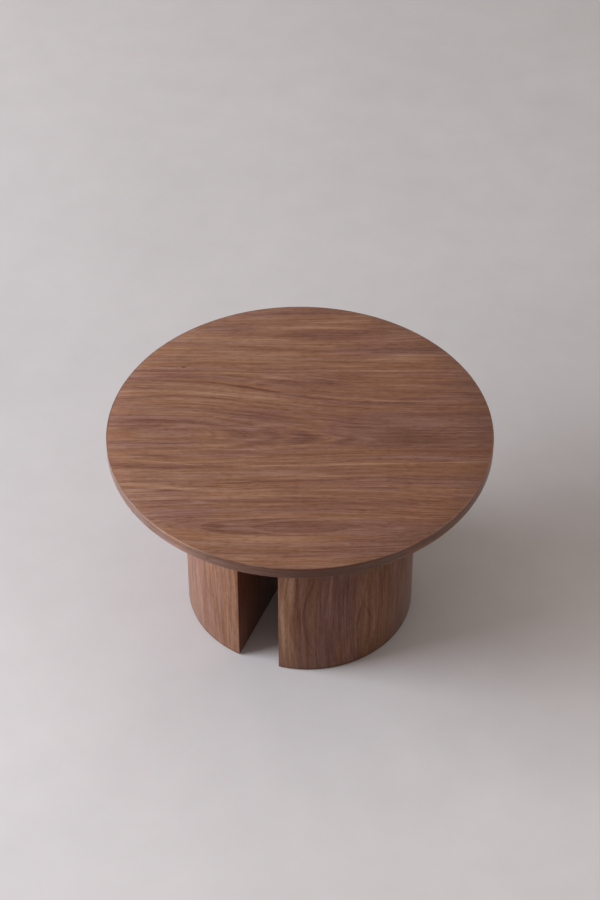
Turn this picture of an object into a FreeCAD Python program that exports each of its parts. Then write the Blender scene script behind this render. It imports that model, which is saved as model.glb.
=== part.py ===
# Round coffee table: a veneered disc top on two hollow half-round legs that face each other across a slot.
# Units are millimetres. +Z is up, and the origin is on the floor under the middle of the top.
# The slot between the legs runs along Y. The right leg stands on the +X side, the left leg on the -X side.
import FreeCAD, Part
import math
import os

Vec = FreeCAD.Vector
X_AXIS = Vec(1, 0, 0)
Z_AXIS = Vec(0, 0, 1)

# Whole table
TABLE_HEIGHT = 420.0
TOP_DIAMETER = 700.0
VENEER = 0.6

# Tabletop
TOP_CORE_THICKNESS = 20.0
EDGE_BAND_THICKNESS = 2.0
EDGE_BAND_ROUND = 1.4

# Leg outline: the flat face is a chord, and the curved face an arc that rises from it
LEG_WIDTH = 400.0
LEG_DEPTH = 176.0
LEG_GAP = 80.0

# Leg carcass
GLUE_LINE = 0.2
SHELL_THICKNESS = 9.0
PANEL_THICKNESS = 15.0
FORMER_THICKNESS = 18.0
FORMER_RIM = 30.0
ACCESS_CORNER_ROUND = 18.0
CORNER_POST = 24.0

# Wooden dowels that join the flat panel to the edges of the formers
PANEL_DOWEL_DIAMETER = 8.0
PANEL_DOWEL_IN_PANEL = 10.0
PANEL_DOWEL_IN_FORMER = 20.0
PANEL_DOWEL_FROM_POST = 40.0

# Wooden dowels that locate each leg under the top
LOCATING_DOWEL_DIAMETER = 10.0
LOCATING_DOWEL_IN_FORMER = 15.0
LOCATING_DOWEL_IN_TOP = 15.0
LOCATING_DOWEL_FROM_BOLT = 45.0

# What all the dowels share
DOWEL_CHAMFER = 1.0
DOWEL_CLEARANCE = 0.1
DOWEL_END_ROOM = 1.0

# Bolts that pull each leg up against the top, their washers and their threaded inserts
BOLT_DIAMETER = 7.9
BOLT_ENGAGEMENT = 9.4
BOLT_TIP_CHAMFER = 1.0
BOLT_HEAD_DIAMETER = 14.0
BOLT_HEAD_HEIGHT = 4.4
BOLT_HEAD_ROUND = 2.6
SOCKET_SIDES = 6
BOLT_SOCKET_ACROSS_FLATS = 5.0
BOLT_SOCKET_DEPTH = 2.6
BOLT_HOLE_DIAMETER = 9.0
BOLT_FROM_ACCESS_EDGE = 15.0
BOLT_FROM_ACCESS_CORNER = 40.0
WASHER_DIAMETER = 24.0
WASHER_BORE = 8.4
WASHER_THICKNESS = 2.0
INSERT_DIAMETER = 12.0
INSERT_BORE = 8.0
INSERT_LENGTH = 13.0
INSERT_MOUTH_CHAMFER = 0.6
INSERT_THREAD_PITCH = 3.0
INSERT_THREAD_GROOVE = 1.2
INSERT_THREAD_DEPTH = 0.8
INSERT_CLEARANCE = 0.1
INSERT_END_ROOM = 1.0

# Glides let into the underside of each leg, and the screws that hold them
GLIDE_DIAMETER = 22.0
GLIDE_THICKNESS = 5.0
GLIDE_PROJECTION = 2.5
GLIDE_ROUND = 1.0
GLIDE_CLEARANCE = 0.1
GLIDE_FROM_POST = 8.0
GLIDE_ARC_ANGLE = 28.0
GLIDE_SCREW_DIAMETER = 3.5
GLIDE_SCREW_LENGTH = 16.0
GLIDE_SCREW_HEAD_DIAMETER = 7.0
GLIDE_SCREW_HEAD_HEIGHT = 1.9
GLIDE_SCREW_POINT = 4.0
GLIDE_SCREW_SUNK = 0.8
GLIDE_SCREW_CLEARANCE = 0.1
GLIDE_SCREW_RECESS_SPAN = 4.0
GLIDE_SCREW_RECESS_WIDTH = 1.0
GLIDE_SCREW_RECESS_DEPTH = 1.2

# Heights that follow
TOP_THICKNESS = TOP_CORE_THICKNESS + 2 * VENEER
TOP_UNDERSIDE = TABLE_HEIGHT - TOP_THICKNESS
CORE_UNDERSIDE = TOP_UNDERSIDE + VENEER
LEG_BOTTOM = GLIDE_PROJECTION
LEG_HEIGHT = TOP_UNDERSIDE - LEG_BOTTOM
TOP_FORMER_Z = TOP_UNDERSIDE - FORMER_THICKNESS
MIDDLE_FORMER_Z = LEG_BOTTOM + (LEG_HEIGHT - FORMER_THICKNESS) / 2

# Leg outline that follows, for the right leg
CORE_RADIUS = TOP_DIAMETER / 2 - EDGE_BAND_THICKNESS
LEG_RADIUS = (LEG_WIDTH**2 / 4 + LEG_DEPTH**2) / (2 * LEG_DEPTH)
FLAT_FACE_X = LEG_GAP / 2
CURVE_CENTRE_X = FLAT_FACE_X + LEG_DEPTH - LEG_RADIUS
PANEL_FRONT_X = FLAT_FACE_X + VENEER
PANEL_BACK_X = PANEL_FRONT_X + PANEL_THICKNESS
VENEER_INNER_RADIUS = LEG_RADIUS - VENEER
SHELL_OUTER_RADIUS = VENEER_INNER_RADIUS - GLUE_LINE
SHELL_INNER_RADIUS = SHELL_OUTER_RADIUS - SHELL_THICKNESS
ACCESS_EDGE_X = PANEL_BACK_X + FORMER_RIM
ACCESS_RADIUS = SHELL_INNER_RADIUS - FORMER_RIM

# Fastener lengths that follow
BOLT_LENGTH = WASHER_THICKNESS + FORMER_THICKNESS + VENEER + BOLT_ENGAGEMENT
INSERT_HOLE_DEPTH = max(INSERT_LENGTH, BOLT_ENGAGEMENT) + INSERT_END_ROOM


def half_chord(radius, x):
    """Half the length of the line that a plane at x cuts from the leg's circle of that radius."""
    return math.sqrt(radius**2 - (x - CURVE_CENTRE_X) ** 2)


def curve_arc(radius, x, z):
    """Arc of the leg's curve from the plane at x, over the crown, back to that plane."""
    half = half_chord(radius, x)
    return Part.Arc(Vec(x, -half, z), Vec(CURVE_CENTRE_X + radius, 0, z), Vec(x, half, z)).toShape()


def line(start, end):
    """Straight edge between two points."""
    return Part.LineSegment(start, end).toShape()


def prism(edges, height):
    """Upright solid on the closed outline that the edges make."""
    return Part.Face(Part.Wire(edges)).extrude(Z_AXIS * height)


def half_round(radius, flat_x, z, height):
    """Half-round prism between the plane at flat_x and the leg's curve of that radius."""
    half = half_chord(radius, flat_x)
    chord = line(Vec(flat_x, half, z), Vec(flat_x, -half, z))
    return prism([curve_arc(radius, flat_x, z), chord], height)


def curved_wall(outer, inner, flat_x, z, height):
    """Bent wall between two radii of the leg's curve, with both ends cut on the plane at flat_x."""
    wide = half_chord(outer, flat_x)
    narrow = half_chord(inner, flat_x)
    edges = [
        curve_arc(outer, flat_x, z),
        line(Vec(flat_x, wide, z), Vec(flat_x, narrow, z)),
        curve_arc(inner, flat_x, z),
        line(Vec(flat_x, -narrow, z), Vec(flat_x, -wide, z)),
    ]
    return prism(edges, height)


def flat_wall(radius, front_x, back_x, z, height):
    """Flat wall across the leg from front_x to back_x, with its ends on the leg's curve of that radius."""
    whole = half_round(radius, front_x, z, height)
    return whole.cut(half_round(radius, back_x, z, height))


def rod(diameter, start, length, direction=Z_AXIS):
    """Round bar."""
    return Part.makeCylinder(diameter / 2, length, start, direction)


def rims(shape):
    """Round edges of a turned shape, the lowest first."""
    circles = [edge for edge in shape.Edges if len(edge.Vertexes) == 1]
    return sorted(circles, key=lambda edge: edge.CenterOfMass.z)


def dowel(diameter, start, length, direction):
    """Round wooden pin with both ends chamfered."""
    bar = rod(diameter, start, length, direction)
    return bar.makeChamfer(DOWEL_CHAMFER, rims(bar))


def centred_box(size_x, size_y, height, z):
    """Upright box centred on the Z axis."""
    return Part.makeBox(size_x, size_y, height, Vec(-size_x / 2, -size_y / 2, z))


def placed(shape, point):
    """Copy of a shape moved to a point."""
    copy = shape.copy()
    copy.translate(point)
    return copy


def group(solids):
    """Separate identical pieces kept together as one node."""
    return Part.makeCompound(list(solids))


def mirrored(shape):
    """The shape mirrored in the middle plane of the slot, where the left leg stands."""
    return shape.mirror(Vec(0, 0, 0), X_AXIS)


def both_sides(points):
    """The points of the right leg, followed by those of the left leg."""
    return points + [Vec(-point.x, point.y, point.z) for point in points]


def bolt_points():
    """Plan positions of the right leg's bolts: two by the flat panel and one by the crown of the curve."""
    near_x = ACCESS_EDGE_X + BOLT_FROM_ACCESS_EDGE
    near_y = half_chord(ACCESS_RADIUS, ACCESS_EDGE_X) - BOLT_FROM_ACCESS_CORNER
    crown_x = CURVE_CENTRE_X + ACCESS_RADIUS - BOLT_FROM_ACCESS_EDGE
    return [Vec(near_x, -near_y, 0), Vec(near_x, near_y, 0), Vec(crown_x, 0, 0)]


def locating_points():
    """Plan positions of the right leg's locating dowels, inward of the two bolts by the flat panel."""
    first, second, _ = bolt_points()
    step = Vec(0, LOCATING_DOWEL_FROM_BOLT, 0)
    return [first + step, second - step]


def post_inner_y():
    """Distance from the leg's middle plane to the inner face of a corner post."""
    return half_chord(SHELL_INNER_RADIUS, PANEL_BACK_X) - CORNER_POST


def glide_points():
    """Plan positions of the right leg's glides: two by the flat panel and two under the curve."""
    near_x = PANEL_BACK_X + FORMER_RIM / 2
    near_y = post_inner_y() - GLIDE_FROM_POST - GLIDE_DIAMETER / 2
    reach = SHELL_INNER_RADIUS - FORMER_RIM / 2
    far_x = CURVE_CENTRE_X + reach * math.cos(math.radians(GLIDE_ARC_ANGLE))
    far_y = reach * math.sin(math.radians(GLIDE_ARC_ANGLE))
    return [Vec(x, side * y, 0) for x, y in ((near_x, near_y), (far_x, far_y)) for side in (-1, 1)]


def panel_dowel_points():
    """Middle points of the joints between the flat panel and the three formers."""
    end_y = post_inner_y() - PANEL_DOWEL_FROM_POST
    heights = [z + FORMER_THICKNESS / 2 for z in (LEG_BOTTOM, MIDDLE_FORMER_Z, TOP_FORMER_Z)]
    return [Vec(PANEL_BACK_X, y, z) for z in heights for y in (-end_y, 0, end_y)]


def panel_dowel_holes():
    """Blind holes for the panel dowels, shared by the flat panel and the formers."""
    diameter = PANEL_DOWEL_DIAMETER + 2 * DOWEL_CLEARANCE
    depth = PANEL_DOWEL_IN_PANEL + DOWEL_END_ROOM
    length = depth + PANEL_DOWEL_IN_FORMER + DOWEL_END_ROOM
    return [rod(diameter, point - X_AXIS * depth, length, X_AXIS) for point in panel_dowel_points()]


def locating_holes(points):
    """Blind holes for the locating dowels, shared by the top formers and the tabletop."""
    diameter = LOCATING_DOWEL_DIAMETER + 2 * DOWEL_CLEARANCE
    depth = LOCATING_DOWEL_IN_FORMER + DOWEL_END_ROOM
    length = depth + LOCATING_DOWEL_IN_TOP + DOWEL_END_ROOM
    return [rod(diameter, point + Z_AXIS * (TOP_UNDERSIDE - depth), length) for point in points]


def insert_holes(points):
    """Holes for the threaded inserts, through the backing veneer and blind in the tabletop core."""
    diameter = INSERT_DIAMETER + 2 * INSERT_CLEARANCE
    depth = VENEER + INSERT_HOLE_DEPTH
    return [rod(diameter, point + Z_AXIS * TOP_UNDERSIDE, depth) for point in points]


def threaded_insert():
    """Barrel with a coarse outer thread, standing on its mouth at the origin."""
    barrel = rod(INSERT_DIAMETER, Vec(), INSERT_LENGTH)
    groove_floor = INSERT_DIAMETER - 2 * INSERT_THREAD_DEPTH
    grooves = []
    z = INSERT_THREAD_PITCH / 2
    while z + INSERT_THREAD_GROOVE < INSERT_LENGTH:
        ring = rod(INSERT_DIAMETER, Vec(0, 0, z), INSERT_THREAD_GROOVE)
        grooves.append(ring.cut(rod(groove_floor, Vec(0, 0, z), INSERT_THREAD_GROOVE)))
        z += INSERT_THREAD_PITCH
    mouth_radius = INSERT_BORE / 2 + INSERT_MOUTH_CHAMFER
    mouth = Part.makeCone(mouth_radius, INSERT_BORE / 2, INSERT_MOUTH_CHAMFER)
    return barrel.cut(grooves + [rod(INSERT_BORE, Vec(), INSERT_LENGTH), mouth])


def bolt():
    """Button-head bolt pointing up, with the seat of its head at the origin and a hexagon socket below."""
    shank = rod(BOLT_DIAMETER, Vec(), BOLT_LENGTH)
    shank = shank.makeChamfer(BOLT_TIP_CHAMFER, rims(shank)[-1:])
    head = rod(BOLT_HEAD_DIAMETER, Vec(0, 0, -BOLT_HEAD_HEIGHT), BOLT_HEAD_HEIGHT)
    head = head.makeFillet(BOLT_HEAD_ROUND, rims(head)[:1])
    reach = BOLT_SOCKET_ACROSS_FLATS / 2 / math.cos(math.pi / SOCKET_SIDES)
    turns = [math.tau * side / SOCKET_SIDES for side in range(SOCKET_SIDES + 1)]
    corners = [Vec(reach * math.cos(turn), reach * math.sin(turn), -BOLT_HEAD_HEIGHT) for turn in turns]
    socket = Part.Face(Part.makePolygon(corners)).extrude(Z_AXIS * BOLT_SOCKET_DEPTH)
    return shank.fuse(head).cut(socket).removeSplitter()


def washer():
    """Broad flat washer that lies under a bolt head, with its upper face at the origin."""
    bottom = Vec(0, 0, -WASHER_THICKNESS)
    return rod(WASHER_DIAMETER, bottom, WASHER_THICKNESS).cut(rod(WASHER_BORE, bottom, WASHER_THICKNESS))


def screw_body(allowance):
    """Countersunk wood screw pointing up, grown by an allowance all round where it is used to cut a hole."""
    head_radius = GLIDE_SCREW_HEAD_DIAMETER / 2 + allowance
    shank_radius = GLIDE_SCREW_DIAMETER / 2 + allowance
    straight = GLIDE_SCREW_LENGTH - GLIDE_SCREW_POINT
    head = Part.makeCone(head_radius, shank_radius, GLIDE_SCREW_HEAD_HEIGHT)
    shank = Part.makeCylinder(shank_radius, straight)
    point = Part.makeCone(shank_radius, allowance, GLIDE_SCREW_POINT, Vec(0, 0, straight))
    return head.fuse([shank, point]).removeSplitter()


def glide_screw():
    """Countersunk wood screw with a cross recess in its head."""
    long_slot = (GLIDE_SCREW_RECESS_SPAN, GLIDE_SCREW_RECESS_WIDTH)
    recess = [centred_box(*size, GLIDE_SCREW_RECESS_DEPTH, 0) for size in (long_slot, long_slot[::-1])]
    return screw_body(0).cut(recess)


def glide():
    """Round foot with a softened lower rim and a countersunk screw hole, standing at the origin."""
    foot = rod(GLIDE_DIAMETER, Vec(), GLIDE_THICKNESS)
    foot = foot.makeFillet(GLIDE_ROUND, rims(foot)[:1])
    sunk_hole = rod(GLIDE_SCREW_HEAD_DIAMETER + 2 * GLIDE_SCREW_CLEARANCE, Vec(), GLIDE_SCREW_SUNK)
    screw_hole = placed(screw_body(GLIDE_SCREW_CLEARANCE), Z_AXIS * GLIDE_SCREW_SUNK)
    return foot.cut([sunk_hole, screw_hole])


def glide_seats():
    """Recesses in the bottom former for the glides, with the pilot holes for their screws."""
    depth = GLIDE_THICKNESS - GLIDE_PROJECTION
    recess = rod(GLIDE_DIAMETER + 2 * GLIDE_CLEARANCE, Z_AXIS * LEG_BOTTOM, depth)
    pilot = placed(screw_body(GLIDE_SCREW_CLEARANCE), Z_AXIS * GLIDE_SCREW_SUNK)
    return [placed(tool, point) for point in glide_points() for tool in (recess, pilot)]


def tabletop():
    """The disc of the table: core, face and backing veneers, edge band, and the inserts let in from below."""
    inserts = both_sides(bolt_points())
    holes = insert_holes(inserts) + locating_holes(both_sides(locating_points()))
    core = rod(2 * CORE_RADIUS, Z_AXIS * CORE_UNDERSIDE, TOP_CORE_THICKNESS)
    face = rod(2 * CORE_RADIUS, Z_AXIS * (TABLE_HEIGHT - VENEER), VENEER)
    backing = rod(2 * CORE_RADIUS, Z_AXIS * TOP_UNDERSIDE, VENEER)
    band = rod(TOP_DIAMETER, Z_AXIS * TOP_UNDERSIDE, TOP_THICKNESS)
    band = band.makeFillet(EDGE_BAND_ROUND, rims(band))
    band = band.cut(rod(2 * CORE_RADIUS, Z_AXIS * TOP_UNDERSIDE, TOP_THICKNESS))
    barrels = [placed(threaded_insert(), point + Z_AXIS * CORE_UNDERSIDE) for point in inserts]
    return {
        "top_core": core.cut(holes),
        "top_face_veneer": face,
        "top_backing_veneer": backing.cut(holes),
        "top_edge_band": band,
        "top_threaded_inserts": group(barrels),
    }


def corner_posts():
    """Front and rear posts that fill the corners between the flat panel and the bent shell."""
    strip = flat_wall(SHELL_INNER_RADIUS, PANEL_BACK_X, PANEL_BACK_X + CORNER_POST, LEG_BOTTOM, LEG_HEIGHT)
    inner_y = post_inner_y()
    middle = Part.makeBox(LEG_DEPTH, 2 * inner_y, LEG_HEIGHT, Vec(PANEL_BACK_X, -inner_y, LEG_BOTTOM))
    return sorted(strip.cut(middle).Solids, key=lambda solid: solid.CenterOfMass.y)


def former(z, posts, openings):
    """Half-round board across the inside of the leg, notched round the corner posts."""
    board = half_round(SHELL_INNER_RADIUS, PANEL_BACK_X, z, FORMER_THICKNESS)
    return board.cut(posts + panel_dowel_holes() + openings)


def access_opening():
    """Half-round opening that leaves a rim on the lower formers, so that a driver reaches the bolts."""
    opening = half_round(ACCESS_RADIUS, ACCESS_EDGE_X, LEG_BOTTOM, LEG_HEIGHT)
    uprights = [edge for edge in opening.Edges if edge.BoundBox.ZLength > LEG_HEIGHT / 2]
    return opening.makeFillet(ACCESS_CORNER_ROUND, uprights)


def leg_carcass():
    """Formers, flat panel, bent shell and corner posts of the right leg."""
    front_post, rear_post = corner_posts()
    posts = [front_post, rear_post]
    bolt_hole = rod(BOLT_HOLE_DIAMETER, Z_AXIS * TOP_FORMER_Z, FORMER_THICKNESS)
    bolt_holes = [placed(bolt_hole, point) for point in bolt_points()]
    panel = flat_wall(SHELL_INNER_RADIUS, PANEL_FRONT_X, PANEL_BACK_X, LEG_BOTTOM, LEG_HEIGHT)
    shell = curved_wall(SHELL_OUTER_RADIUS, SHELL_INNER_RADIUS, PANEL_FRONT_X, LEG_BOTTOM, LEG_HEIGHT)
    opening = access_opening()
    return {
        "top_former": former(TOP_FORMER_Z, posts, bolt_holes + locating_holes(locating_points())),
        "middle_former": former(MIDDLE_FORMER_Z, posts, [opening]),
        "bottom_former": former(LEG_BOTTOM, posts, [opening] + glide_seats()),
        "flat_panel": panel.cut(panel_dowel_holes()),
        "curved_shell": shell,
        "front_corner_post": front_post,
        "rear_corner_post": rear_post,
    }


def leg_veneers():
    """Walnut skins of the right leg; the curved one laps the edges of the flat one."""
    return {
        "flat_veneer": flat_wall(VENEER_INNER_RADIUS, FLAT_FACE_X, PANEL_FRONT_X, LEG_BOTTOM, LEG_HEIGHT),
        "curved_veneer": curved_wall(LEG_RADIUS, VENEER_INNER_RADIUS, FLAT_FACE_X, LEG_BOTTOM, LEG_HEIGHT),
    }


def leg_fastenings():
    """Dowels, bolts, washers, glides and glide screws of the right leg."""
    panel_length = PANEL_DOWEL_IN_PANEL + PANEL_DOWEL_IN_FORMER
    panel_shift = X_AXIS * PANEL_DOWEL_IN_PANEL
    locating_length = LOCATING_DOWEL_IN_FORMER + LOCATING_DOWEL_IN_TOP
    locating_z = Z_AXIS * (TOP_UNDERSIDE - LOCATING_DOWEL_IN_FORMER)
    washer_z = Z_AXIS * TOP_FORMER_Z
    bolt_z = Z_AXIS * (TOP_FORMER_Z - WASHER_THICKNESS)
    screw_z = Z_AXIS * GLIDE_SCREW_SUNK
    panel_dowel = dowel(PANEL_DOWEL_DIAMETER, -panel_shift, panel_length, X_AXIS)
    locating_dowel = dowel(LOCATING_DOWEL_DIAMETER, locating_z, locating_length, Z_AXIS)
    return {
        "panel_dowels": group(placed(panel_dowel, point) for point in panel_dowel_points()),
        "locating_dowels": group(placed(locating_dowel, point) for point in locating_points()),
        "washers": group(placed(washer(), point + washer_z) for point in bolt_points()),
        "bolts": group(placed(bolt(), point + bolt_z) for point in bolt_points()),
        "glides": group(placed(glide(), point) for point in glide_points()),
        "glide_screws": group(placed(glide_screw(), point + screw_z) for point in glide_points()),
    }


def coffee_table():
    """Every piece of the table by the name of its node."""
    pieces = tabletop()
    leg = {**leg_carcass(), **leg_veneers(), **leg_fastenings()}
    for name, shape in leg.items():
        pieces[f"right_leg_{name}"] = shape
        pieces[f"left_leg_{name}"] = mirrored(shape)
    return pieces


def main():
    """Builds the table and writes one STEP file for each piece."""
    os.makedirs("parts", exist_ok=True)
    for name, shape in coffee_table().items():
        shape.exportStep(f"parts/{name}.step")


main()
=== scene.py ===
"""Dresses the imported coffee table: walnut veneer on a round top and two half-round legs, in a studio."""

import logging
import math
from abc import ABC, abstractmethod
from dataclasses import dataclass
from enum import Enum
from typing import Mapping, Optional, Sequence, Tuple, Union

import bmesh
import bpy
from mathutils import Matrix, Vector


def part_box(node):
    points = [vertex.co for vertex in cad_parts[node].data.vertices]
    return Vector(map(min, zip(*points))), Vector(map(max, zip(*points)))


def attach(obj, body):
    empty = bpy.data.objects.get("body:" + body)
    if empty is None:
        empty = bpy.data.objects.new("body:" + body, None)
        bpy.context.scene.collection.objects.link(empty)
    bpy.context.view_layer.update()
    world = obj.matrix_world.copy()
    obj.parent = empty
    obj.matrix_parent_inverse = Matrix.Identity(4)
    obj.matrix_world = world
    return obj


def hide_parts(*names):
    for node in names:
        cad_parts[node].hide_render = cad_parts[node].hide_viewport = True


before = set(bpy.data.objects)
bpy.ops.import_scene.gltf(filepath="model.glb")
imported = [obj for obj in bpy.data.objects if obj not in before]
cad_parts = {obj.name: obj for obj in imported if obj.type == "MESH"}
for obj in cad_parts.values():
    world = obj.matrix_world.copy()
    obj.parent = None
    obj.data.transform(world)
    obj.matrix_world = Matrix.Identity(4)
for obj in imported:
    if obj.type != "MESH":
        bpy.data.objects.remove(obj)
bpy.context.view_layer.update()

LOG = logging.getLogger("coffee_table")
MM = 0.001
UP = (0.0, 0.0, 1.0)
FULL_TURN = 2.0 * math.pi

# The camera's turn round the table, and the turn of the top's grain, which runs level across its view
VIEW_TURN = math.radians(22.557)

# The middle of a noise and of the tone scale
MIDDLE = 0.5

Socket = bpy.types.NodeSocket
Material = bpy.types.Material
Body = bmesh.types.BMesh
Colour = Tuple[float, float, float]
Feed = Union[Socket, float, Sequence[float]]


class LegSide(Enum):
    """The side of the slot that a leg stands on, as the sign of its x."""

    LEFT = -1
    RIGHT = 1

    @property
    def word(self) -> str:
        """The side in small letters."""
        return self.name.lower()

    def node(self, part: str) -> str:
        """The name of one of this leg's nodes."""
        return f"{self.word}_leg_{part}"


class PlyStack(Enum):
    """The direction in which a board's plies are stacked."""

    LEVEL = "up the z axis"
    UPRIGHT = "along the x axis"
    BENT = "outwards from the leg's own upright axis"


# Shader nodes

# Where a Mix node keeps its colours
MIX_COLOURS = (6, 7)
MIX_RESULT = 2


def opaque(colour: Colour) -> Tuple[float, ...]:
    """A colour with the fourth number that a socket needs."""
    return (*colour, 1.0)


class NodeBench:
    """A material being made, with short words for its nodes."""

    def __init__(self, name: str) -> None:
        """Starts a material with one Principled shader.

        Args:
            name: The material's name.
        """
        self.material = bpy.data.materials.new(name)
        self.material.use_nodes = True
        tree = self.material.node_tree
        tree.nodes.clear()
        self.nodes = tree.nodes
        self.links = tree.links
        self.shader = self.nodes.new("ShaderNodeBsdfPrincipled")
        self.output = self.nodes.new("ShaderNodeOutputMaterial")
        self.links.new(self.shader.outputs["BSDF"], self.output.inputs["Surface"])
        self.place = self.nodes.new("ShaderNodeTexCoord").outputs["Object"]

    def put(self, socket: Socket, feed: Feed) -> None:
        """Joins a socket to another node's output, or sets its value.

        Args:
            socket: The input to fill.
            feed: An output socket, a number, or a vector or colour.
        """
        if isinstance(feed, Socket):
            self.links.new(feed, socket)
        else:
            socket.default_value = feed

    def fill(self, node: bpy.types.Node, feeds: Mapping[str, Feed]) -> None:
        """Fills some of a node's inputs, which are given by name."""
        for name, feed in feeds.items():
            self.put(node.inputs[name], feed)

    def finish(self, name: str, feed: Feed) -> None:
        """Fills one of the shader's own inputs."""
        self.put(self.shader.inputs[name], feed)

    def math(self, operation: str, *feeds: Feed) -> Socket:
        """Adds a Math node.

        Args:
            operation: The node's operation, in Blender's word.
            feeds: Its inputs in order.

        Returns:
            The node's output.
        """
        node = self.nodes.new("ShaderNodeMath")
        node.operation = operation
        for socket, feed in zip(node.inputs, feeds):
            self.put(socket, feed)
        return node.outputs["Value"]

    def centred(self, value: Feed) -> Socket:
        """A value from 0 to 1, moved to lie round 0."""
        return self.math("SUBTRACT", value, MIDDLE)

    def rest(self, value: Feed) -> Socket:
        """What a value leaves of 1."""
        return self.math("SUBTRACT", 1.0, value)

    def total(self, first: Feed, *parts: Tuple[Feed, float]) -> Socket:
        """Adds weighted values to a first one.

        Args:
            first: The value to start from.
            parts: Pairs of a value and its weight.

        Returns:
            The sum.
        """
        result = first
        for value, weight in parts:
            result = self.math("MULTIPLY_ADD", value, weight, result)
        return result

    def combine(self, x: Feed, y: Feed, z: Feed = 0.0) -> Socket:
        """Makes a vector of three values.

        Args:
            x: The first value.
            y: The second value.
            z: The third value.

        Returns:
            The vector.
        """
        node = self.nodes.new("ShaderNodeCombineXYZ")
        for socket, feed in zip(node.inputs, (x, y, z)):
            self.put(socket, feed)
        return node.outputs["Vector"]

    def split(self, vector: Feed) -> Tuple[Socket, Socket, Socket]:
        """Takes a vector apart.

        Args:
            vector: The vector.

        Returns:
            Its x, y and z.
        """
        node = self.nodes.new("ShaderNodeSeparateXYZ")
        self.put(node.inputs["Vector"], vector)
        return node.outputs["X"], node.outputs["Y"], node.outputs["Z"]

    def mapping(
        self,
        vector: Feed,
        location: Sequence[float] = (0.0, 0.0, 0.0),
        rotation: Sequence[float] = (0.0, 0.0, 0.0),
        scale: Sequence[float] = (1.0, 1.0, 1.0),
        kind: str = "POINT",
    ) -> Socket:
        """Adds a Mapping node.

        Args:
            vector: The vector to move, turn and scale.
            location: The node's location.
            rotation: The node's rotation, in radians.
            scale: The node's scale.
            kind: The node's vector type.

        Returns:
            The mapped vector.
        """
        node = self.nodes.new("ShaderNodeMapping")
        node.vector_type = kind
        self.fill(node, {"Vector": vector, "Location": location, "Rotation": rotation, "Scale": scale})
        return node.outputs["Vector"]

    def noise(self, vector: Feed, scale: float = 1.0, detail: float = 2.0, roughness: float = 0.5) -> Socket:
        """Adds a noise texture with values round 0.5.

        Args:
            vector: Where it is read.
            scale: How many features there are to the unit.
            detail: How many finer layers are added.
            roughness: How strong the finer layers are.

        Returns:
            The noise value.
        """
        node = self.nodes.new("ShaderNodeTexNoise")
        self.fill(node, {"Vector": vector, "Scale": scale, "Detail": detail, "Roughness": roughness})
        return node.outputs["Fac"]

    def fade(self, value: Feed, start: float, end: float, low: float = 0.0, high: float = 1.0) -> Socket:
        """Turns a range of values smoothly into another.

        Args:
            value: The value to map.
            start: The value that gives low.
            end: The value that gives high.
            low: The result at the start.
            high: The result at the end.

        Returns:
            The mapped value.
        """
        node = self.nodes.new("ShaderNodeMapRange")
        node.interpolation_type = "SMOOTHSTEP"
        feeds = {"Value": value, "From Min": start, "From Max": end, "To Min": low, "To Max": high}
        self.fill(node, feeds)
        return node.outputs["Result"]

    def mark(self, vector: Feed, centre: Sequence[float], reach: Sequence[float]) -> Socket:
        """A soft mark that is 1 at its centre and 0 at its reach.

        Args:
            vector: Where it is read.
            centre: The mark's middle.
            reach: How far it goes along each axis.

        Returns:
            The mark's strength.
        """
        near = self.mapping(vector, location=centre, scale=reach, kind="TEXTURE")
        node = self.nodes.new("ShaderNodeTexGradient")
        node.gradient_type = "SPHERICAL"
        self.put(node.inputs["Vector"], near)
        return node.outputs["Fac"]

    def ramp(self, value: Feed, stops: Sequence[Tuple[float, Colour]]) -> Socket:
        """Turns a value into a colour.

        Args:
            value: The value to look up.
            stops: Pairs of a value and its colour, in rising order.

        Returns:
            The colour.
        """
        node = self.nodes.new("ShaderNodeValToRGB")
        elements = node.color_ramp.elements
        while len(elements) < len(stops):
            elements.new(1.0)
        for element, (position, colour) in zip(elements, stops):
            element.position = position
            element.color = opaque(colour)
        self.put(node.inputs["Fac"], value)
        return node.outputs["Color"]

    def mix(self, amount: Feed, first: Feed, second: Feed) -> Socket:
        """Mixes two colours.

        Args:
            amount: How much of the second is taken.
            first: The first colour.
            second: The second colour.

        Returns:
            The mixed colour.
        """
        node = self.nodes.new("ShaderNodeMix")
        node.data_type = "RGBA"
        self.put(node.inputs["Factor"], amount)
        for place, feed in zip(MIX_COLOURS, (first, second)):
            self.put(node.inputs[place], feed if isinstance(feed, Socket) else opaque(feed))
        return node.outputs[MIX_RESULT]

    def bump(self, height: Feed, distance: float) -> None:
        """Gives the shader a relief.

        Args:
            height: The relief, from 0 to 1.
            distance: How high 1 is, in metres.
        """
        node = self.nodes.new("ShaderNodeBump")
        self.fill(node, {"Height": height, "Distance": distance})
        self.finish("Normal", node.outputs["Normal"])


def hypotenuse(bench: NodeBench, first: Feed, second: Feed) -> Socket:
    """The length of two values at right angles."""
    square = bench.math("MULTIPLY", first, first)
    return bench.math("SQRT", bench.math("MULTIPLY_ADD", second, second, square))


# Walnut veneer

@dataclass(frozen=True)
class GrainLay(ABC):
    """How a sheet of veneer lies on the table."""

    @abstractmethod
    def sheet(self, bench: NodeBench) -> Tuple[Socket, Socket]:
        """Gives the place on the sheet, in metres.

        Args:
            bench: The material being made.

        Returns:
            The place along the grain and the place across it.
        """

    @abstractmethod
    def edge(self, bench: NodeBench) -> Socket:
        """Gives the distance from the nearest exposed edge, in metres.

        Args:
            bench: The material being made.

        Returns:
            The distance.
        """


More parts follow.
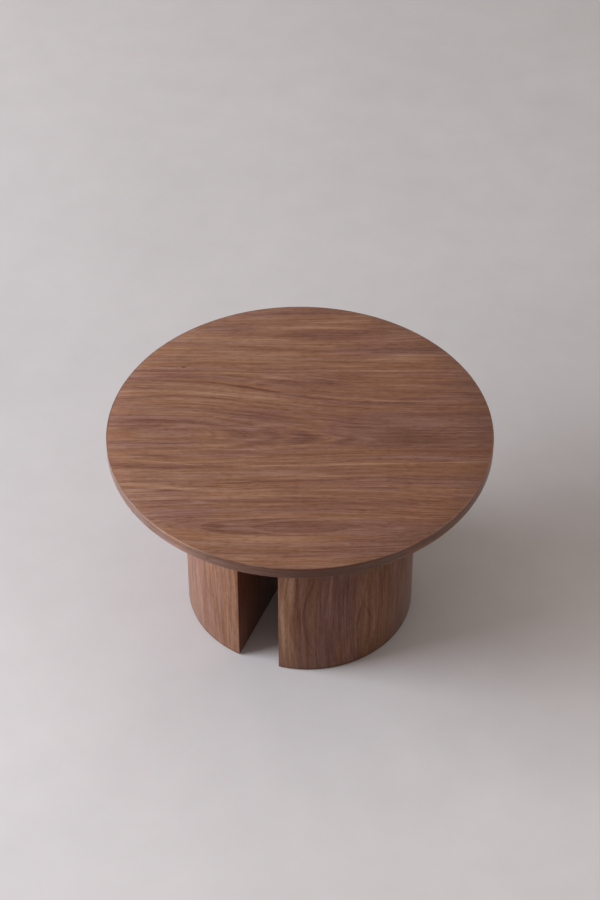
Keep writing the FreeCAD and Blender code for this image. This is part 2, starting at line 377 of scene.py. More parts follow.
@dataclass(frozen=True)
class LevelLay(GrainLay):
    """A level sheet with its grain turned from the x axis.

    Fields: the turn in radians and the sheet's radius.
    """

    turn: float
    radius: float

    def sheet(self, bench: NodeBench) -> Tuple[Socket, Socket]:
        """The level place, turned into the grain's direction."""
        x, y, _ = bench.split(bench.mapping(bench.place, rotation=(0.0, 0.0, -self.turn)))
        return x, y

    def edge(self, bench: NodeBench) -> Socket:
        """The distance from the round edge."""
        x, y, _ = bench.split(bench.place)
        return bench.math("SUBTRACT", self.radius, hypotenuse(bench, x, y))


@dataclass(frozen=True)
class RimLay(GrainLay):
    """A strip bent round the rim, with its one joint at the back.

    Fields: the rim's radius and its lowest and highest z.
    """

    radius: float
    low: float
    high: float

    def sheet(self, bench: NodeBench) -> Tuple[Socket, Socket]:
        """The way round the rim from its front, and the height.

        Args:
            bench: The material being made.

        Returns:
            The place along the grain and the place across it.
        """
        x, y, z = bench.split(bench.place)
        turn = bench.math("ARCTAN2", x, bench.math("MULTIPLY", y, -1.0))
        return bench.math("MULTIPLY", turn, self.radius), z

    def edge(self, bench: NodeBench) -> Socket:
        """The distance from the nearer arris.

        Args:
            bench: The material being made.

        Returns:
            The distance, in metres.
        """
        _, _, z = bench.split(bench.place)
        above = bench.math("SUBTRACT", z, self.low)
        below = bench.math("SUBTRACT", self.high, z)
        return bench.math("MINIMUM", above, below)


@dataclass(frozen=True)
class BentLay(GrainLay):
    """A sheet bent round a leg, with upright grain.

    Fields: the side, the bend's centre and radius, half of its angle, and its lowest z.
    """

    side: LegSide
    centre_x: float
    radius: float
    half_angle: float
    low: float

    def sheet(self, bench: NodeBench) -> Tuple[Socket, Socket]:
        """The height, and the way round the leg from its front corner.

        Args:
            bench: The material being made.

        Returns:
            The place along the grain and the place across it.
        """
        x, y, z = bench.split(bench.place)
        outwards = bench.math("MULTIPLY_ADD", x, float(self.side.value), -self.centre_x)
        turn = bench.math("ARCTAN2", y, outwards)
        return z, bench.math("MULTIPLY", bench.math("ADD", turn, self.half_angle), self.radius)

    def edge(self, bench: NodeBench) -> Socket:
        """The distance from the corners and the foot.

        Args:
            bench: The material being made.

        Returns:
            The distance, in metres.
        """
        z, across = self.sheet(bench)
        length = 2.0 * self.half_angle * self.radius
        corner = bench.math("MINIMUM", across, bench.math("SUBTRACT", length, across))
        return bench.math("MINIMUM", corner, bench.math("SUBTRACT", z, self.low))


@dataclass(frozen=True)
class UprightLay(GrainLay):
    """A flat sheet that stands in the slot, with upright grain.

    Fields: half of its width and its lowest z.
    """

    half_width: float
    low: float

    def sheet(self, bench: NodeBench) -> Tuple[Socket, Socket]:
        """The height, and the place from front to back."""
        _, y, z = bench.split(bench.place)
        return z, y

    def edge(self, bench: NodeBench) -> Socket:
        """The distance from the corners and the foot.

        Args:
            bench: The material being made.

        Returns:
            The distance, in metres.
        """
        _, y, z = bench.split(bench.place)
        corner = bench.math("SUBTRACT", self.half_width, bench.math("ABSOLUTE", y))
        return bench.math("MINIMUM", corner, bench.math("SUBTRACT", z, self.low))


# How far the corners of a leaf's depth and of its rings are rounded, in millimetres
TAPER_ROUND = 70.0
CUP_ROUND = 60.0
KNEE_ROUND = 25.0

# How wide the change from the one side of a heart line to the other is, in millimetres
HEART_WIDTH = 40.0


def rounded_max(first: float, second: float, reach: float) -> float:
    """The larger of two values, rounded off where they meet as the Math node does it."""
    near = max(reach - abs(first - second), 0.0) / reach
    return max(first, second) + near**3 * reach / 6.0


@dataclass(frozen=True)
class Leaf:
    """One leaf of veneer, cut from a log whose rings it crosses at a slant. All lengths are in millimetres.

    Fields: where across the sheet its heart line runs and where the leaf starts; how the depth of the cut
    on that line grows along the grain, evenly between two places, and with the square of the way from a
    middle up to a reach; how much more the depth tells beyond the heart line than before it; and how much
    lighter the leaf is.
    """

    heart: float
    start: float = -1000.0
    taper: float = 0.0
    taper_from: float = -1000.0
    taper_to: float = 1000.0
    cup: float = 0.0
    cup_middle: float = 0.0
    cup_reach: float = 300.0
    slew: float = 0.0
    shade: float = 0.0

    def depth_at(self, along: float) -> float:
        """The depth on the heart line.

        Args:
            along: The place along the grain, in millimetres.

        Returns:
            The depth, in millimetres.
        """
        below = -rounded_max(-along, -self.taper_to, TAPER_ROUND)
        held = rounded_max(below, self.taper_from, TAPER_ROUND)
        way = -rounded_max(-abs(along - self.cup_middle), -self.cup_reach, CUP_ROUND)
        return self.taper * held + self.cup * way**2

    def depth_socket(self, bench: NodeBench, along: Socket) -> Socket:
        """The depth on the heart line as a node value, in metres.

        Args:
            bench: The material being made.
            along: The place along the grain, in metres.

        Returns:
            The depth.
        """
        below = bench.math("SMOOTH_MIN", along, self.taper_to * MM, TAPER_ROUND * MM)
        held = bench.math("SMOOTH_MAX", below, self.taper_from * MM, TAPER_ROUND * MM)
        way = bench.math("ABSOLUTE", bench.math("SUBTRACT", along, self.cup_middle * MM))
        near = bench.math("SMOOTH_MIN", way, self.cup_reach * MM, CUP_ROUND * MM)
        square = bench.math("POWER", near, 2.0)
        return bench.total(bench.math("MULTIPLY", held, self.taper), (square, self.cup / MM))


@dataclass(frozen=True)
class RingShape:
    """How rings lie across a leaf, in millimetres: wide apart near the heart line, close beyond the knee.

    Fields: how much of a ring's width a millimetre crosses near the heart and on the flank, where the flank
    starts, how blunt the arches are on the heart line, and the width of a year's ring.
    """

    core: float = 0.35
    flank: float = 0.85
    knee: float = 32.0
    soft: float = 5.0
    year: float = 6.0

    def side_at(self, off: float) -> float:
        """The side of the heart line, from -1 to 1, at a distance from it."""
        return off / math.hypot(off, HEART_WIDTH)

    def spread_at(self, off: float) -> float:
        """The ring's distance from the heart's ring, at a distance from the heart line."""
        away = math.hypot(off, self.soft)
        return self.core * away + (self.flank - self.core) * rounded_max(away - self.knee, 0.0, KNEE_ROUND)

    def side_socket(self, bench: NodeBench, off: Socket) -> Socket:
        """The side of the heart line as a node value."""
        return bench.math("DIVIDE", off, hypotenuse(bench, off, HEART_WIDTH * MM))

    def spread_socket(self, bench: NodeBench, off: Socket) -> Socket:
        """The ring's distance as a node value, in metres.

        Args:
            bench: The material being made.
            off: The distance from the heart line, in metres, to either side.

        Returns:
            The ring's distance.
        """
        away = hypotenuse(bench, off, self.soft * MM)
        beyond = bench.math("SUBTRACT", away, self.knee * MM)
        beyond = bench.math("SMOOTH_MAX", beyond, 0.0, KNEE_ROUND * MM)
        return bench.total(bench.math("MULTIPLY", away, self.core), (beyond, self.flank - self.core))


@dataclass(frozen=True)
class Streak:
    """A darker or lighter mark that follows a ring, in millimetres.

    Fields: its middle on the sheet, its half length, its half width, its tone, and how far off it may
    wander.
    """

    along: float
    across: float
    length: float
    width: float
    tone: float
    wander: float = 70.0


@dataclass(frozen=True)
class Vein:
    """A line, or a broad place, of another tone that runs in a slight curve of its own, in millimetres.

    Fields: its middle on the sheet, its half length, its half width, its tone, its slope at the middle, and
    how much it bows away from that slope.
    """

    along: float
    across: float
    length: float
    width: float
    tone: float
    slope: float = 0.0
    bow: float = 0.0

    def part(self, bench: NodeBench, along: Socket, across: Socket) -> Tuple[Socket, float]:
        """The line's part in the tone at a place on the sheet.

        Args:
            bench: The material being made.
            along: The place along the grain, in metres.
            across: The place across it, in metres.

        Returns:
            The strength, 1 at the line's middle and 0 at its ends and sides, and the tone.
        """
        way = bench.math("SUBTRACT", along, self.along * MM)
        slope = bench.math("MULTIPLY_ADD", way, self.bow / MM, self.slope)
        level = bench.math("SUBTRACT", across, bench.math("MULTIPLY", way, slope))
        centre = (self.along * MM, self.across * MM, 0.0)
        reach = (self.length * MM, self.width * MM, 1.0)
        return bench.mark(bench.combine(along, level), centre, reach), self.tone


@dataclass(frozen=True)
class WalnutTones:
    """The colours of lacquered walnut: a warm and a plum brown, from the darkest ring to the palest streak.

    Fields: the two browns, the palest wood, how many times as bright each step of the scale is, and how far
    red, green and blue each follow the steps.
    """

    warm: Colour = (0.228, 0.0960, 0.0457)
    plum: Colour = (0.203, 0.0870, 0.0578)
    worn: Colour = (0.380, 0.215, 0.135)
    steps: Tuple[float, ...] = (0.36, 0.62, 1.0, 1.50, 2.05)
    swing: Colour = (0.67, 1.06, 1.50)

    def stops(self, brown: Colour) -> Sequence[Tuple[float, Colour]]:
        """The shades of one brown.

        Args:
            brown: The brown at the middle of the tone scale.

        Returns:
            Pairs of a place on the tone scale and its shade.
        """
        last = len(self.steps) - 1
        shades = [tuple(part * step**power for part, power in zip(brown, self.swing)) for step in self.steps]
        return [(place / last, shade) for place, shade in enumerate(shades)]


@dataclass(frozen=True)
class GrainLayer:
    """One layer of the wood's figure: a noise that is drawn out along the grain.

    Fields: its features to the metre along and across the grain, its weight in the tone, how many finer
    layers it has and how strong they are, the range of its values that is spread out from 0 to 1, if any,
    and its features to the metre along the third axis.
    """

    along: float
    across: float
    weight: float = 1.0
    detail: float = 2.0
    roughness: float = 0.5
    spread: Optional[Tuple[float, float]] = None
    apart: float = 1.0

    def noise(self, bench: NodeBench, place: Socket) -> Socket:
        """The bare noise at a place on the sheet."""
        drawn = bench.mapping(place, scale=(self.along, self.across, self.apart))
        return bench.noise(drawn, detail=self.detail, roughness=self.roughness)

    def value(self, bench: NodeBench, place: Socket) -> Socket:
        """The noise at a place on the sheet, spread out."""
        noise = self.noise(bench, place)
        return noise if self.spread is None else bench.fade(noise, *self.spread)

    def part(self, bench: NodeBench, place: Socket, figure: float = 1.0) -> Tuple[Socket, float]:
        """The layer's value round 0 at a place on the sheet, and its weight in a figure of some strength."""
        return bench.centred(self.value(bench, place)), self.weight * figure

    def threads(self, bench: NodeBench, place: Socket, runs: Socket) -> Tuple[Socket, float]:
        """Thin lines along the grain, wherever the noise crosses its middle.

        Args:
            bench: The material being made.
            place: The place on the sheet.
            runs: How strong the lines are there, from 0 to 1.

        Returns:
            The strength of the lines, and their weight.
        """
        away = bench.math("ABSOLUTE", bench.centred(self.noise(bench, place)))
        lines = bench.fade(away, *self.spread, 1.0, 0.0)
        return bench.math("MULTIPLY", lines, runs), self.weight


# How the grain sways, in metres, and how far the strands follow the rings
WAVES = GrainLayer(1.6, 4.5, 22.0 * MM, detail=1.0)
RIPPLES = GrainLayer(9.0, 30.0, 4.0 * MM)
STRAND_BEND = 0.7

# The layers of the tone, from the broad ones to the finest
BANDS = GrainLayer(1.8, 60.0, 0.31)
DRIFT = GrainLayer(3.0, 42.0, 0.22)
CLOUDS = GrainLayer(5.0, 16.0, 0.25)
STRANDS = GrainLayer(9.0, 130.0, 0.14, detail=3.0, roughness=0.7, spread=(0.40, 0.60))
HAIRS = GrainLayer(7.0, 300.0, 0.15, detail=1.0, roughness=0.7, spread=(0.38, 0.62))
FLECKS = GrainLayer(44.0, 125.0, 0.32, detail=3.0, roughness=0.65)
FIBRES = GrainLayer(24.0, 900.0, 0.30, roughness=0.6)
DASHES = GrainLayer(60.0, 560.0, -0.20, detail=1.0, spread=(0.56, 0.66))
PORES = GrainLayer(85.0, 2300.0, -0.09, detail=1.0, spread=(0.60, 0.72))

# Single threads, dark ones in some runs and light ones between them
DARK_THREADS = GrainLayer(2.4, 78.0, -0.15, detail=1.0, spread=(0.005, 0.035))
LIGHT_THREADS = GrainLayer(2.0, 52.0, 0.16, detail=1.0, spread=(0.005, 0.026))
THREAD_RUNS = GrainLayer(5.0, 40.0, spread=(0.40, 0.58))

# The years' rings: how unevenly they follow each other, their tone, and the broken dark lines where they end
UNEVEN_YEARS = GrainLayer(1.4, 70.0, 5.0, apart=5.0)
YEARS_WEIGHT = 0.12
BROKEN_LINES = GrainLayer(5.0, 50.0, detail=1.0, spread=(0.34, 0.62), apart=3.0)
LATE_WOOD_EDGE = 4.0
LATE_WOOD_WEIGHT = -0.20

# How far apart the noises of two leaves are read
LEAF_APART = 9.0

# How plum the wood is; the weight is that of a lighter tone
BLUSH = GrainLayer(2.5, 60.0, -1.1, spread=(0.32, 0.68))

# The lacquer's roughness and the relief under it, with what the fibres, the pores and the dark lines add
SATIN = 0.42
FIBRE_ROUGHNESS = 0.12
PORE_ROUGHNESS = 0.08
HAZE_ROUGHNESS = 0.3
RELIEF = 0.06 * MM
PORE_RELIEF = -0.8
LATE_WOOD_RELIEF = -0.2

# How far in an exposed edge is pale, and how far that wavers
WORN_REACH = 1.6 * MM
WORN_FRAY = -2.0 * MM


@dataclass(frozen=True)
class Walnut:
    """A walnut veneer under satin lacquer.

    Fields: its name, how it lies, its leaves from front to back, its streaks, its veins, the places where
    it is more plum or, with a tone below 0, warmer than elsewhere, where its noise is read, how much
    lighter it is (painted light on the left leg's curved face, painted shade on the flat faces), how strong
    its figure is, how much lighter it grows in a metre along the grain (a painted falloff of the lamps'
    light), how much its lacquer mirrors, how hazy it is at a low angle, how pale its exposed edges are, and
    the shape of its rings and its colours.
    """

    name: str
    lay: GrainLay
    leaves: Tuple[Leaf, ...]
    streaks: Tuple[Streak, ...] = ()
    veins: Tuple[Vein, ...] = ()
    blushes: Tuple[Vein, ...] = ()
    seed: float = 0.0
    lift: float = 0.0
    figure: float = 1.0
    slope: float = 0.0
    gloss: float = 0.45
    haze: float = 0.0
    wear: float = 0.08
    rings: RingShape = RingShape()
    tones: WalnutTones = WalnutTones()

    def material(self) -> Material:
        """Makes the veneer's material.

        Returns:
            The material, with colour, roughness and relief from its grain.
        """
        bench = NodeBench(self.name)
        along, across = self.lay.sheet(bench)
        sheet = bench.combine(along, across, self.seed)
        waved, swayed = self.swayed(bench, sheet, across)
        heart, depth, slew, shade = self.leaf_fields(bench, along, across)
        off = bench.math("SUBTRACT", swayed, heart)
        side = self.rings.side_socket(bench, off)
        deep = bench.math("MULTIPLY", depth, bench.math("MULTIPLY_ADD", slew, side, 1.0))
        ring = bench.math("ADD", self.rings.spread_socket(bench, off), deep)
        apart = bench.math("MULTIPLY", bench.math("ADD", heart, self.seed), LEAF_APART)
        rings = bench.combine(along, ring, apart)
        bend = bench.math("MULTIPLY", deep, side)
        bent = bench.total(waved, (bend, STRAND_BEND / self.rings.flank))
        grain = bench.combine(along, bent, self.seed)
        year, late = self.ring_lines(bench, ring, rings)
        clouds = CLOUDS.value(bench, sheet)
        plain = MIDDLE + self.lift
        base = bench.total(
            bench.math("ADD", shade, plain),
            BANDS.part(bench, rings, self.figure),
            (bench.centred(year), YEARS_WEIGHT * self.figure),
            DRIFT.part(bench, sheet),
            (bench.centred(clouds), CLOUDS.weight),
        )
        base = self.streaked(bench, base, bench.combine(along, ring, swayed))
        rippled = bench.math("ADD", across, bench.math("SUBTRACT", swayed, waved))
        base = bench.total(base, *(vein.part(bench, along, rippled) for vein in self.veins))
        fibres = FIBRES.value(bench, sheet)
        pores = PORES.value(bench, sheet)
        runs = THREAD_RUNS.value(bench, sheet)
        tone = bench.total(
            base,
            # Painted falloff of the lamps' light: the tone changes steadily along the grain
            (along, self.slope),
            STRANDS.part(bench, grain),
            HAIRS.part(bench, grain),
            FLECKS.part(bench, sheet),
            (bench.centred(fibres), FIBRES.weight),
            DARK_THREADS.threads(bench, rings, runs),
            LIGHT_THREADS.threads(bench, grain, bench.rest(runs)),
            (DASHES.value(bench, sheet), DASHES.weight),
            (late, LATE_WOOD_WEIGHT * self.figure),
            (pores, PORES.weight),
        )
        blush = bench.total(
            BLUSH.noise(bench, rings),
            (bench.math("SUBTRACT", base, plain), BLUSH.weight),
            *(place.part(bench, along, rippled) for place in self.blushes),
        )
        bench.finish("Base Color", self.colour(bench, tone, blush, clouds))
        bench.finish("Roughness", bench.total(SATIN, (fibres, FIBRE_ROUGHNESS), (pores, PORE_ROUGHNESS)))
        bench.finish("Specular IOR Level", self.gloss)
        bench.finish("Sheen Weight", self.haze)
        bench.finish("Sheen Roughness", HAZE_ROUGHNESS)
        bench.bump(bench.total(fibres, (pores, PORE_RELIEF), (late, LATE_WOOD_RELIEF)), RELIEF)
        return bench.material

    def swayed(self, bench: NodeBench, sheet: Socket, across: Socket) -> Tuple[Socket, Socket]:
        """Bends the grain a little, as a tree grows.

        Args:
            bench: The material being made.
            sheet: The place on the sheet.
            across: The place across the grain.

        Returns:
            The place across the grain with slow bends in it, and with ripples as well.
        """
        wave = bench.centred(WAVES.noise(bench, sheet))
        ripple = bench.centred(RIPPLES.noise(bench, sheet))
        waved = bench.total(across, (wave, WAVES.weight))
        return waved, bench.total(waved, (ripple, RIPPLES.weight))

    def ring_lines(self, bench: NodeBench, ring: Socket, rings: Socket) -> Tuple[Socket, Socket]:
        """Draws the years' rings, each with its own tone and a dark line where it ends.

        Args:
            bench: The material being made.
            ring: The place among the rings, in metres.
            rings: The place along the grain and among the rings.

        Returns:
            The tone of the year, and the strength of the dark lines.
        """
        uneven = UNEVEN_YEARS.noise(bench, rings)
        age = bench.total(bench.math("DIVIDE", ring, self.rings.year * MM), (uneven, UNEVEN_YEARS.weight))
        chance = bench.nodes.new("ShaderNodeTexWhiteNoise")
        chance.noise_dimensions = "1D"
        bench.put(chance.inputs["W"], bench.math("ADD", bench.math("FLOOR", age), self.seed))
        late = bench.math("POWER", bench.math("FRACT", age), LATE_WOOD_EDGE)
        return chance.outputs["Value"], bench.math("MULTIPLY", late, BROKEN_LINES.value(bench, rings))

    def colour(self, bench: NodeBench, tone: Socket, blush: Socket, clouds: Socket) -> Socket:
        """Turns the tone into a colour, between warm and plum brown, and pales the exposed edges.

        Args:
            bench: The material being made.
            tone: The tone of the wood.
            blush: How plum the wood is.
            clouds: A slow noise, which frays the pale edges.

        Returns:
            The colour.
        """
        warm = bench.ramp(tone, self.tones.stops(self.tones.warm))
        plum = bench.ramp(tone, self.tones.stops(self.tones.plum))
        brown = bench.mix(bench.fade(blush, *BLUSH.spread), warm, plum)
        frayed = bench.total(self.lay.edge(bench), (bench.centred(clouds), WORN_FRAY))
        worn = bench.fade(frayed, 0.0, WORN_REACH, self.wear, 0.0)
        return bench.mix(worn, brown, self.tones.worn)

    def leaf_fields(self, bench: NodeBench, along: Socket, across: Socket) -> Tuple[Feed, ...]:
        """Finds the leaf that a place lies on.

        Args:
            bench: The material being made.
            along: The place along the grain.
            across: The place across it.

        Returns:
            The leaf's heart line, the depth of its cut there, how one-sided that is, and its shade.
        """
        fields = [
            (leaf.heart * MM, leaf.depth_socket(bench, along), leaf.slew, leaf.shade) for leaf in self.leaves
        ]
        result = fields[0]
        for leaf, values in zip(self.leaves[1:], fields[1:]):
            inside = bench.math("GREATER_THAN", across, leaf.start * MM)
            outside = bench.rest(inside)
            result = [
                bench.total(bench.math("MULTIPLY", inside, own), (outside, before))
                for own, before in zip(values, result)
            ]
        return tuple(result)

    def streaked(self, bench: NodeBench, tone: Socket, place: Socket) -> Socket:
        """Adds the streaks to the tone.

        Args:
            bench: The material being made.
            tone: The tone so far.
            place: The place along the grain, among the rings and across the grain.

        Returns:
            The tone with the streaks in it.
        """
        for streak in self.streaks:
            leaf = [one for one in self.leaves if one.start <= streak.across][-1]
            off = streak.across - leaf.heart
            deep = leaf.depth_at(streak.along) * (1.0 + leaf.slew * self.rings.side_at(off))
            ring = deep + self.rings.spread_at(off)
            centre = (streak.along, ring, streak.across)
            reach = (streak.length, streak.width, streak.wander)
            mark = bench.mark(place, [value * MM for value in centre], [value * MM for value in reach])
            tone = bench.total(tone, (mark, streak.tone))
        return tone


# Finishes inside and under the table

# Shades of the two pale woods, with their places on the tone scale
BIRCH = ((0.2, (0.36, 0.23, 0.13)), (0.5, (0.58, 0.42, 0.26)), (0.75, (0.72, 0.57, 0.38)))
BEECH = ((0.2, (0.40, 0.22, 0.12)), (0.5, (0.58, 0.37, 0.22)), (0.8, (0.70, 0.49, 0.31)))

# The grain of the plies, and the marks that a tool leaves on metal
STRAIGHT_PLIES = GrainLayer(9.0, 420.0, apart=420.0)
CROSSED_PLIES = GrainLayer(420.0, 9.0, apart=420.0)
TOOL_MARKS = GrainLayer(300.0, 300.0, apart=5000.0)


@dataclass(frozen=True)
class Plywood:
    """Birch plywood, with its plies seen on cut edges.

    Fields: its name, how its plies are stacked, where the stack starts, the thickness of a ply, the leg's
    upright axis for bent plies, its blotches to the metre, how far from a ply's middle its glue starts and
    is full, the tones of grain, blotches, crossed plies and glue, its least roughness and what the grain
    adds, and the reliefs of the grain and, as a share of that, of the glue.
    """

    name: str
    stack: PlyStack
    start: float
    ply: float = 1.5 * MM
    axis_x: float = 0.0
    blotches: float = 14.0
    glue_line: Tuple[float, float] = (0.40, 0.48)
    grain_tone: float = 0.6
    blotch_tone: float = 0.4
    crossed_tone: float = -0.12
    glue_tone: float = -0.18
    roughness: float = 0.52
    grain_roughness: float = 0.2
    relief: float = 0.08 * MM
    glue_relief: float = -0.4

    def depth(self, bench: NodeBench) -> Socket:
        """Gives the place within the stack.

        Args:
            bench: The material being made.

        Returns:
            The place from the start of the stack, in plies.
        """
        x, y, z = bench.split(bench.place)
        if self.stack is PlyStack.LEVEL:
            depth = z
        elif self.stack is PlyStack.UPRIGHT:
            depth = bench.math("ABSOLUTE", x)
        else:
            outwards = bench.math("SUBTRACT", bench.math("ABSOLUTE", x), self.axis_x)
            depth = hypotenuse(bench, outwards, y)
        return bench.math("DIVIDE", bench.math("SUBTRACT", depth, self.start), self.ply)

    def material(self) -> Material:
        """Makes the plywood's material.

        Returns:
            The material.
        """
        bench = NodeBench(self.name)
        depth = self.depth(bench)
        crossed = bench.math("MODULO", bench.math("FLOOR", bench.math("ABSOLUTE", depth)), 2.0)
        straight = bench.math("MULTIPLY", STRAIGHT_PLIES.noise(bench, bench.place), bench.rest(crossed))
        grain = bench.total(straight, (CROSSED_PLIES.noise(bench, bench.place), crossed))
        blotch = bench.noise(bench.place, scale=self.blotches)
        from_middle = bench.math("ABSOLUTE", bench.centred(bench.math("FRACT", depth)))
        glue = bench.fade(from_middle, *self.glue_line)
        tone = bench.total(
            0.0,
            (grain, self.grain_tone),
            (blotch, self.blotch_tone),
            (crossed, self.crossed_tone),
            (glue, self.glue_tone),
        )
        bench.finish("Base Color", bench.ramp(tone, BIRCH))
        bench.finish("Roughness", bench.total(self.roughness, (grain, self.grain_roughness)))
        bench.bump(bench.total(grain, (glue, self.glue_relief)), self.relief)
        return bench.material


@dataclass(frozen=True)
class Beech:
    """Plain beech with its small flecks, with the grain along one axis.

    Fields: its name, how much the figure is drawn out along x, y and z, its features of grain and its
    flecks to the metre, the range of values where a fleck starts and is full, the flecks' tone and relief,
    its least roughness and what the grain adds, and its relief.
    """

    name: str
    draw: Tuple[float, float, float]
    grain: float = 260.0
    flecks: float = 1300.0
    fleck_range: Tuple[float, float] = (0.58, 0.68)
    fleck_tone: float = -0.16
    fleck_relief: float = -0.5
    roughness: float = 0.46
    grain_roughness: float = 0.2
    relief: float = 0.06 * MM

    def drawn(self, bench: NodeBench, features: float) -> Socket:
        """The place, for a figure with so many features to the metre across the grain."""
        return bench.mapping(bench.place, scale=[features / part for part in self.draw])

    def material(self) -> Material:
        """Makes the beech's material.

        Returns:
            The material.
        """
        bench = NodeBench(self.name)
        grain = bench.noise(self.drawn(bench, self.grain), detail=3.0)
        flecks = bench.fade(bench.noise(self.drawn(bench, self.flecks), detail=1.0), *self.fleck_range)
        bench.finish("Base Color", bench.ramp(bench.total(grain, (flecks, self.fleck_tone)), BEECH))
        bench.finish("Roughness", bench.total(self.roughness, (grain, self.grain_roughness)))
        bench.bump(bench.total(grain, (flecks, self.fleck_relief)), self.relief)
        return bench.material


@dataclass(frozen=True)
class Speckled:
    """A fine speckled stuff, such as fibreboard or moulded nylon.

    Fields: its name, its two colours, its speckles to the metre, its mean roughness, its relief, how many
    times as fine its dust is, the weights of speckles and dust, the tones that the two colours stand for,
    and how far the dust changes the roughness.
    """

    name: str
    dark: Colour
    light: Colour
    scale: float
    roughness: float
    relief: float
    fineness: float = 6.0
    speckle_tone: float = 0.6
    dust_tone: float = 0.4
    dark_at: float = 0.32
    light_at: float = 0.68
    unevenness: float = 0.08

    def material(self) -> Material:
        """Makes the speckled material.

        Returns:
            The material.
        """
        bench = NodeBench(self.name)
        speckles = bench.noise(bench.place, scale=self.scale, detail=3.0, roughness=0.65)
        dust = bench.noise(bench.place, scale=self.scale * self.fineness)
        tone = bench.total(0.0, (speckles, self.speckle_tone), (dust, self.dust_tone))
        shades = ((self.dark_at, self.dark), (self.light_at, self.light))
        bench.finish("Base Color", bench.ramp(tone, shades))
        least = self.roughness - self.unevenness
        bench.finish("Roughness", bench.total(least, (dust, 2.0 * self.unevenness)))
        bench.bump(tone, self.relief)
        return bench.material


@dataclass(frozen=True)
class Metal:
    """Turned or pressed metal with a slightly dulled face.

    Fields: its name, its bright and dulled colours, its mean roughness, its dull clouds to the metre, the
    range of values where one starts and is full, how much smoother than the mean it is at the least, what
    tool marks and dulling add to that, and its relief.
    """

    name: str
    bright: Colour
    dull: Colour
    roughness: float
    clouds: float = 220.0
    dull_range: Tuple[float, float] = (0.42, 0.68)
    polish: float = 0.1
    marks_roughness: float = 0.14
    dull_roughness: float = 0.12
    relief: float = 0.01 * MM

    def material(self) -> Material:
        """Makes the metal's material.

        Returns:
            The material.
        """
        bench = NodeBench(self.name)
        dulled = bench.fade(bench.noise(bench.place, scale=self.clouds, detail=3.0), *self.dull_range)
        marks = TOOL_MARKS.noise(bench, bench.place)
        bench.finish("Base Color", bench.mix(dulled, self.bright, self.dull))
        bench.finish("Metallic", 1.0)
        least = self.roughness - self.polish
        rough = bench.total(least, (marks, self.marks_roughness), (dulled, self.dull_roughness))
        bench.finish("Roughness", rough)
        bench.bump(marks, self.relief)
        return bench.material


# Meshes

ORIGIN = (0.0, 0.0, 0.0)

# The steps of a full round, the cuts between a disc's middle and its edge, and how near two vertices are one
ROUND_STEPS = 360
DISC_CUTS = 6
WELD = 0.001 * MM

# The turn between two faces from which an edge is rounded, and from which it is shaded as sharp
SHARP_TURN = math.radians(40.0)
SMOOTH_TURN = math.radians(35.0)


def weld(bm: Body) -> None:
    """Joins the vertices of a body that meet, and turns its faces outwards."""
    bmesh.ops.remove_doubles(bm, verts=bm.verts, dist=WELD)
    bmesh.ops.recalc_face_normals(bm, faces=bm.faces)


def spun_body(
    inner: float,
    outer: float,
    low: float,
    high: float,
    start: float = 0.0,
    sweep: float = FULL_TURN,
    steps: int = ROUND_STEPS,
) -> Body:
    """Spins an upright rectangle about the z axis.

    Args:
        inner: The rectangle's inner radius; 0 makes a disc.
        outer: Its outer radius.
        low: Its lowest z.
        high: Its highest z.
        start: The angle where the spin starts.
        sweep: The angle that it covers.
        steps: How many steps it takes.

    Returns:
        The spun body, open at its ends unless the spin is full.
    """
    bm = bmesh.new()
    bmesh.ops.create_grid(bm, x_segments=1, y_segments=1, size=0.5)
    bmesh.ops.scale(bm, vec=(outer - inner, high - low, 1.0), verts=bm.verts)
    bmesh.ops.rotate(bm, cent=ORIGIN, matrix=Matrix.Rotation(math.pi / 2.0, 3, "X"), verts=bm.verts)
    bmesh.ops.translate(bm, vec=((inner + outer) / 2.0, 0.0, (low + high) / 2.0), verts=bm.verts)
    bmesh.ops.delete(bm, geom=bm.faces[:], context="FACES_ONLY")
    if inner == 0.0:
        on_axis = [edge for edge in bm.edges if max(vert.co.x for vert in edge.verts) < outer / 2.0]
        bmesh.ops.delete(bm, geom=on_axis, context="EDGES")
        level = [edge for edge in bm.edges if edge.calc_length() > outer / 2.0]
        bmesh.ops.subdivide_edges(bm, edges=level, cuts=DISC_CUTS)
    bmesh.ops.rotate(bm, cent=ORIGIN, matrix=Matrix.Rotation(start, 3, "Z"), verts=bm.verts)
    outline = bm.verts[:] + bm.edges[:]
    full = math.isclose(sweep, FULL_TURN)
    bmesh.ops.spin(bm, geom=outline, cent=ORIGIN, axis=UP, angle=sweep, steps=steps, use_merge=full)
    weld(bm)
    return bm


def bisect(bm: Body, point: Sequence[float], facing: Sequence[float], trim: bool = False) -> None:
    """Cuts a body's faces along a plane through a point, and can trim off what lies before it."""
    geometry = bm.verts[:] + bm.edges[:] + bm.faces[:]
    bmesh.ops.bisect_plane(bm, geom=geometry, plane_co=point, plane_no=facing, clear_outer=trim)


def ease(bm: Body, edges: Sequence[bmesh.types.BMEdge], size: float, segments: int = 2) -> None:
    """Rounds some edges of a body.

    Args:
        bm: The body.
        edges: The edges to round.
        size: How far the round reaches.
        segments: How many faces make it.
    """
    bmesh.ops.bevel(
        bm,
        geom=list(edges),
        offset=size,
        offset_type="OFFSET",
        affect="EDGES",
        segments=segments,
        profile=0.5,
        material=-1,
    )


def sharp_edges(bm: Body) -> Sequence[bmesh.types.BMEdge]:
    """The edges of a body where its faces turn sharply."""
    return [edge for edge in bm.edges if edge.calc_face_angle(0.0) > SHARP_TURN]


def mesh_from(name: str, bm: Body) -> bpy.types.Mesh:
    """Makes a mesh of a body.

    Args:
        name: The mesh's name.
        bm: The body, which is used up.

    Returns:
        The mesh.
    """
    mesh = bpy.data.meshes.new(name)
    bm.to_mesh(mesh)
    bm.free()
    return mesh


